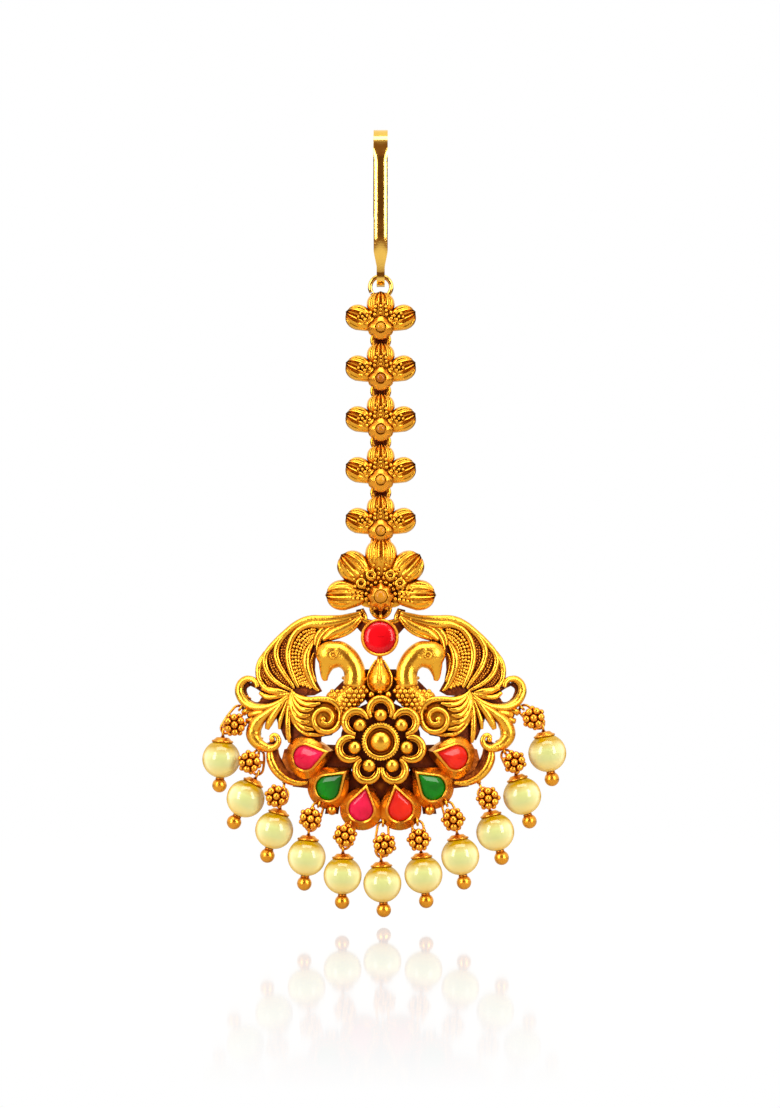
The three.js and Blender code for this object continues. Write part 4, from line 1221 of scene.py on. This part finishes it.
bezels = []
for number, (side, k, glass, slot) in enumerate((
    (-1, 2, pink_glass, "pink_glass"), (-1, 1, green_glass, "green_glass"),
    (-1, 0, pink_glass, "pink_glass"), (1, 0, red_glass, "red_glass"),
    (1, 1, green_glass, "green_glass"), (1, 2, red_glass, "red_glass"),
), 1):
    x, z, points = TEARDROPS[k]
    way = points if side > 0 else 180 - points
    bezel = bezel_form(
        "bezel", (pear(DROP_ROUND + 1.15, DROP_TIP + flank(0.65), 0.35), 0.0),
        pear(DROP_ROUND + 0.4, DROP_TIP + flank(0.4)), pear(DROP_ROUND + 0.06, DROP_TIP + 0.1),
        1.9, 1.1)
    seated(bezel, side * x, z, way, 13)
    bezels.append(bezel)
    stone = stone_form(
        f"teardrop_stone_{number}", pear(DROP_ROUND + 0.04, DROP_TIP + 0.05),
        pear(DROP_ROUND - 0.3, DROP_TIP - flank(0.3)), 1.14, 1.95)
    seated(stone, side * x, z, way, 13)
    finish_piece(stone, "pendant", slot, glass, f"teardrop_stone_{number}")
ROUND_STONE_X, ROUND_STONE_Z = -0.1, 12.1
round_bezel = bezel_form(
    "bezel", (round_outline(2.1), 0.0), round_outline(2.25), round_outline(1.9), 1.75, 0.9)
seated(round_bezel, ROUND_STONE_X, ROUND_STONE_Z, 0)
bezels.append(round_bezel)
round_stone = stone_form("round_stone", round_outline(1.86), round_outline(1.5), 0.94, 1.85)
seated(round_stone, ROUND_STONE_X, ROUND_STONE_Z, 0)
finish_piece(round_stone, "pendant", "red_glass", ruby_glass, "round_stone")
for side in (-1, 1):
    bezels.append(bead(*on_dome(side * 5.75, -8.1, 0.5), 0.64, True))
bezel_set = gather("bezels", bezels)
finish_piece(bezel_set, "pendant", "antique_gold", red_gold)

# ---- The top of the pendant ----
# An eye of round wire on a small bridge takes the ring from the flower above.

SWING_Z = -56.9

pendant_eye = side_on_eye("pendant_eye", EYE_RADIUS, EYE_WIRE, 0, SWING_Z)
bridge_parts = [pendant_eye, relief_lines("bridge", [
    [(-2.9, 14.9, 0.3), (-2.0, 14.3, 0.34), (-0.9, 13.95, 0.34), (0, 13.9, 0.36),
     (0.9, 13.95, 0.34), (2.0, 14.3, 0.34), (2.9, 14.9, 0.3)],
    [(-2.2, 15.5, 0.26), (-1.9, 14.8, 0.3), (-1.8, 14.2, 0.3)],
    [(2.2, 15.5, 0.26), (1.9, 14.8, 0.3), (1.8, 14.2, 0.3)],
], 0.35)]
bridge = gather("bridge", bridge_parts)
rounded(bridge, 60)
finish_piece(bridge, "pendant", "antique_gold", antique_gold)

# ---- The drops ----
# Eleven drops hang from eyes round the lower edge. Each has a rosette of small balls soldered to
# a long oval link, and a pin with a ball head that carries a pearl and a flared cap.

# Each drop: the eye it hangs from, its rosette, its pearl, and the lean of its pin in degrees.
DROPS = [
    ((-16.5, 4.0), (-17.3, 1.9), (-18.9, -2.2), 4), ((-14.4, -1.1), (-15.5, -2.5), (-16.0, -6.85), 26),
    ((-11.5, -5.6), (-12.3, -6.5), (-12.6, -10.55), 15), ((-7.2, -7.3), (-8.25, -9.1), (-8.75, -13.7), 5),
    ((-3.5, -9.6), (-4.2, -11.1), (-4.5, -15.85), 1), ((0.3, -9.5), (0.45, -12.15), (0.2, -16.8), -3),
    ((4.3, -9.4), (4.5, -11.55), (5.05, -15.75), -6), ((7.7, -7.2), (8.55, -9.2), (9.4, -13.6), -8),
    ((11.9, -5.6), (12.7, -6.75), (13.55, -10.8), -14), ((14.6, -1.2), (15.8, -2.5), (16.75, -6.55), -16),
    ((16.6, 4.0), (18.1, 2.7), (19.75, -1.5), -10),
]
PEARL_RADIUS = 2.25
PIN_EYE_AT = 3.15
DROP_EYE_RADIUS = 0.5
DROP_EYE_WIRE = 0.16
OVAL_HALF = 0.66

def pearl_coat():
    # Warm ivory with a greenish heart and a lighter band round it, a painted highlight; golden towards
    # the rim and the cap, a painted reflection of the gold about the pearl; warmer and lighter towards
    # the bottom.
    coat, tree, shader = new_material("pearl")
    rim = added(tree, "LayerWeight", {"Blend": 0.35}).outputs["Facing"]
    # Painted light by facing: a darker greenish heart, a lighter band that is a painted highlight, and a
    # golden rim that is a painted reflection of the gold.
    body = ramp(
        tree, rim, (0.0, (0.5, 0.55, 0.24)), (0.32, (0.86, 0.85, 0.5)), (0.6, (0.6, 0.34, 0.004)))
    # Painted reflection of the gold cap: golden towards the top of the pearl.
    height = added(tree, "Attribute", {}, attribute_name="toward_cap").outputs["Fac"]
    near_cap = added(tree, "MapRange", {"Value": height, "From Min": 0.2, "From Max": 0.65})
    cap_reflection = added(tree, "Mix", {
        "Factor": near_cap.outputs["Result"], "A": body, "B": (0.42, 0.25, 0.0, 1),
    }, data_type="RGBA")
    # Warmer and lighter towards the bottom.
    low = added(tree, "MapRange", {"Value": height, "From Min": -0.3, "From Max": -1.0})
    warmer_below = added(tree, "Mix", {
        "Factor": low.outputs["Result"], "A": cap_reflection.outputs["Result"],
        "B": (0.86, 0.62, 0.16, 1)}, data_type="RGBA")
    orient = added(tree, "TexNoise", {"Vector": object_place(tree), "Scale": 600})
    ripple = added(tree, "Bump", {
        "Strength": 0.05, "Distance": 0.0001, "Height": orient.outputs["Fac"]})
    # The lustre sits on the side facing the eye; the rim keeps its painted golden reflection.
    lustre = added(tree, "MapRange", {
        "Value": rim, "From Min": 0.25, "From Max": 0.6, "To Min": 1.0, "To Max": 0.1})
    feed(tree, shader, {
        "Base Color": warmer_below.outputs["Result"], "Normal": ripple.outputs["Normal"],
        "Roughness": 0.25, "Specular IOR Level": 0.1, "Coat Weight": lustre.outputs["Result"],
        "Coat Roughness": 0.05, "Coat Tint": (1, 0.97, 0.82, 1)})
    return coat

pearl_material = pearl_coat()

def bored_pearl():
    bpy.ops.mesh.primitive_uv_sphere_add(segments=48, ring_count=32, radius=PEARL_RADIUS * mm)
    pearl = bpy.context.object
    edit(pearl, "DESELECT")
    leave_edit()
    for v in pearl.data.vertices:
        v.select = math.hypot(v.co.x, v.co.y) < 0.01 * mm
    bpy.ops.object.mode_set(mode="EDIT")
    bpy.ops.mesh.select_mode(type="VERT")
    bpy.ops.mesh.delete(type="VERT")
    bpy.ops.mesh.select_non_manifold()
    bpy.ops.transform.resize(value=(1.6, 1.6, 1), center_override=(0, 0, 0))
    bpy.ops.mesh.bridge_edge_loops()
    leave_edit()
    face_outward(pearl)
    rounded(pearl, 60)
    height = pearl.data.attributes.new("toward_cap", "FLOAT", "POINT")
    for i, v in enumerate(pearl.data.vertices):
        height.data[i].value = v.co.z / (PEARL_RADIUS * mm)
    return pearl

def flared_cap():
    # A cup spun from sheet, its rim turned out over the pearl.
    bpy.ops.mesh.primitive_cone_add(
        vertices=36, radius1=1.2 * mm, radius2=0.72 * mm, depth=0.46 * mm,
        location=(0, 0, 2.34 * mm))
    cap = bpy.context.object
    settle(cap)
    edit(cap, "DESELECT")
    bpy.ops.mesh.select_mode(type="FACE")
    leave_edit()
    for face in cap.data.polygons:
        face.select = face.normal.z < -0.9
    bpy.ops.object.mode_set(mode="EDIT")
    bpy.ops.mesh.inset(thickness=0.16 * mm)
    bpy.ops.mesh.extrude_region_move(TRANSFORM_OT_translate={"value": (0, 0, 0.2 * mm)})
    leave_edit()
    modified(cap, "BEVEL", width=0.07 * mm, segments=3, limit_method="ANGLE")
    rounded(cap, 50)
    bpy.ops.mesh.primitive_torus_add(
        major_radius=1.13 * mm, minor_radius=0.16 * mm, major_segments=36, minor_segments=10,
        location=(0, 0, 2.08 * mm))
    lip = bpy.context.object
    settle(lip)
    bpy.ops.object.shade_smooth()
    return [cap, lip]

def pearl_pin():
    wire = drawn_wire("wire", [
        (0, 0, -3.0, 0.25), (0, 0, -1, 0.25), (0, 0, 1, 0.25), (0, 0, 2.7, 0.25)])
    eye = side_on_eye("eye", DROP_EYE_RADIUS, DROP_EYE_WIRE, 0, PIN_EYE_AT, 20)
    ball = bead(0, 0, -3.12, 0.87, True)
    seat = relief_seat()
    return gather("pin_pattern", [wire, eye, ball, seat, *flared_cap()])

def relief_seat():
    # A thin washer between the ball and the pearl.
    bpy.ops.mesh.primitive_torus_add(
        major_radius=0.42 * mm, minor_radius=0.12 * mm, major_segments=24, minor_segments=8,
        location=(0, 0, -2.32 * mm))
    washer = bpy.context.object
    settle(washer)
    bpy.ops.object.shade_smooth()
    return washer

def ball_cluster():
    # One ball ringed by six, with finer grains round the edge.
    balls = [bead(0, -0.62, 0, 0.46, True)]
    for i in range(6):
        swing = math.radians(60 * i + 30)
        balls.append(bead(0.86 * math.cos(swing), -0.4, 0.86 * math.sin(swing), 0.46, True))
    for i in range(6):
        swing = math.radians(60 * i)
        balls.append(bead(1.16 * math.cos(swing), -0.1, 1.16 * math.sin(swing), 0.32, True))
    balls.append(relief_back())
    return gather("cluster_pattern", balls)

def relief_back():
    # The disc that the balls are soldered to, its edge rounded over.
    bpy.ops.mesh.primitive_cylinder_add(
        vertices=32, radius=1.12 * mm, depth=0.4 * mm, rotation=(math.pi / 2, 0, 0))
    disc = bpy.context.object
    settle(disc)
    modified(disc, "BEVEL", width=0.12 * mm, segments=3, limit_method="ANGLE")
    rounded(disc, 50)
    return disc

pearl_pattern = bored_pearl()
pin_pattern = pearl_pin()
cluster_pattern = ball_cluster()
eye_pattern = side_on_eye("drop_eye", DROP_EYE_RADIUS, DROP_EYE_WIRE, 0, 0, 20)

drop_eyes = []
for number, (lug, rosette_at, pearl_at, lean) in enumerate(DROPS, 1):
    y = dome(*lug) - 0.35
    tilt = math.radians(lean)
    top = Vector((lug[0], y, lug[1] + PENDANT_Z))
    centre = Vector((pearl_at[0], y, pearl_at[1] + PENDANT_Z))
    foot = centre + Vector((math.sin(tilt), 0, math.cos(tilt))) * PIN_EYE_AT
    down = (foot - top).normalized()
    across = Vector((-down.z, 0, down.x))
    length = (foot - top).length
    way = math.degrees(math.atan2(-down.x, -down.z))

    drop_eyes.append(copy_of(eye_pattern, "drop_eye", *top, way))
    stub = top - down * (DROP_EYE_RADIUS + 0.1)
    root = top - down * 1.5
    drop_eyes.append(drawn_wire("stub", [
        (*stub, 0.26), (*((stub + root) / 2), 0.34), (*root, 0.42)]))

    oval = drawn_wire("oval", [
        (*(top + across * OVAL_HALF * side + down * length * 0.5 + down * reach), 0.16)
        for side, reach in (
            (0, -length / 2), (0.8, 0.3 - length / 2), (1, 0.85 - length / 2),
            (1, length / 2 - 0.85), (0.8, length / 2 - 0.3), (0, length / 2),
            (-0.8, length / 2 - 0.3), (-1, length / 2 - 0.85), (-1, 0.85 - length / 2),
            (-0.8, 0.3 - length / 2))
    ], closed=True, smooth=4)
    middle = (top + foot) / 2
    bar = drawn_wire("bar", [
        (*(middle - across * OVAL_HALF), 0.2), (*middle, 0.24), (*(middle + across * OVAL_HALF), 0.2)])
    front = Vector((rosette_at[0], y - 1.25, rosette_at[1] + PENDANT_Z))
    post = drawn_wire("post", [
        (*middle, 0.3), (*((middle + front) / 2), 0.34), (*front, 0.4)])
    cluster = copy_of(cluster_pattern, "cluster", front.x, front.y, front.z, random.uniform(-25, 25))
    rosette = gather(f"rosette_{number}", [cluster, oval, bar, post])
    finish_piece(rosette, "pendant", "antique_gold", red_gold, f"rosette_{number}")

    pearl = copy_of(pearl_pattern, f"pearl_{number}", *centre, lean)
    finish_piece(pearl, "pendant", "pearl", pearl_material, f"pearl_{number}")
    pin = copy_of(pin_pattern, f"pearl_pin_{number}", *centre, lean)
    finish_piece(pin, "pendant", "antique_gold", red_gold, f"pearl_pin_{number}")

drop_eyes = gather("drop_eyes", drop_eyes)
finish_piece(drop_eyes, "pendant", "antique_gold", antique_gold)
for pattern in (pearl_pattern, pin_pattern, cluster_pattern, eye_pattern):
    bpy.data.objects.remove(pattern)
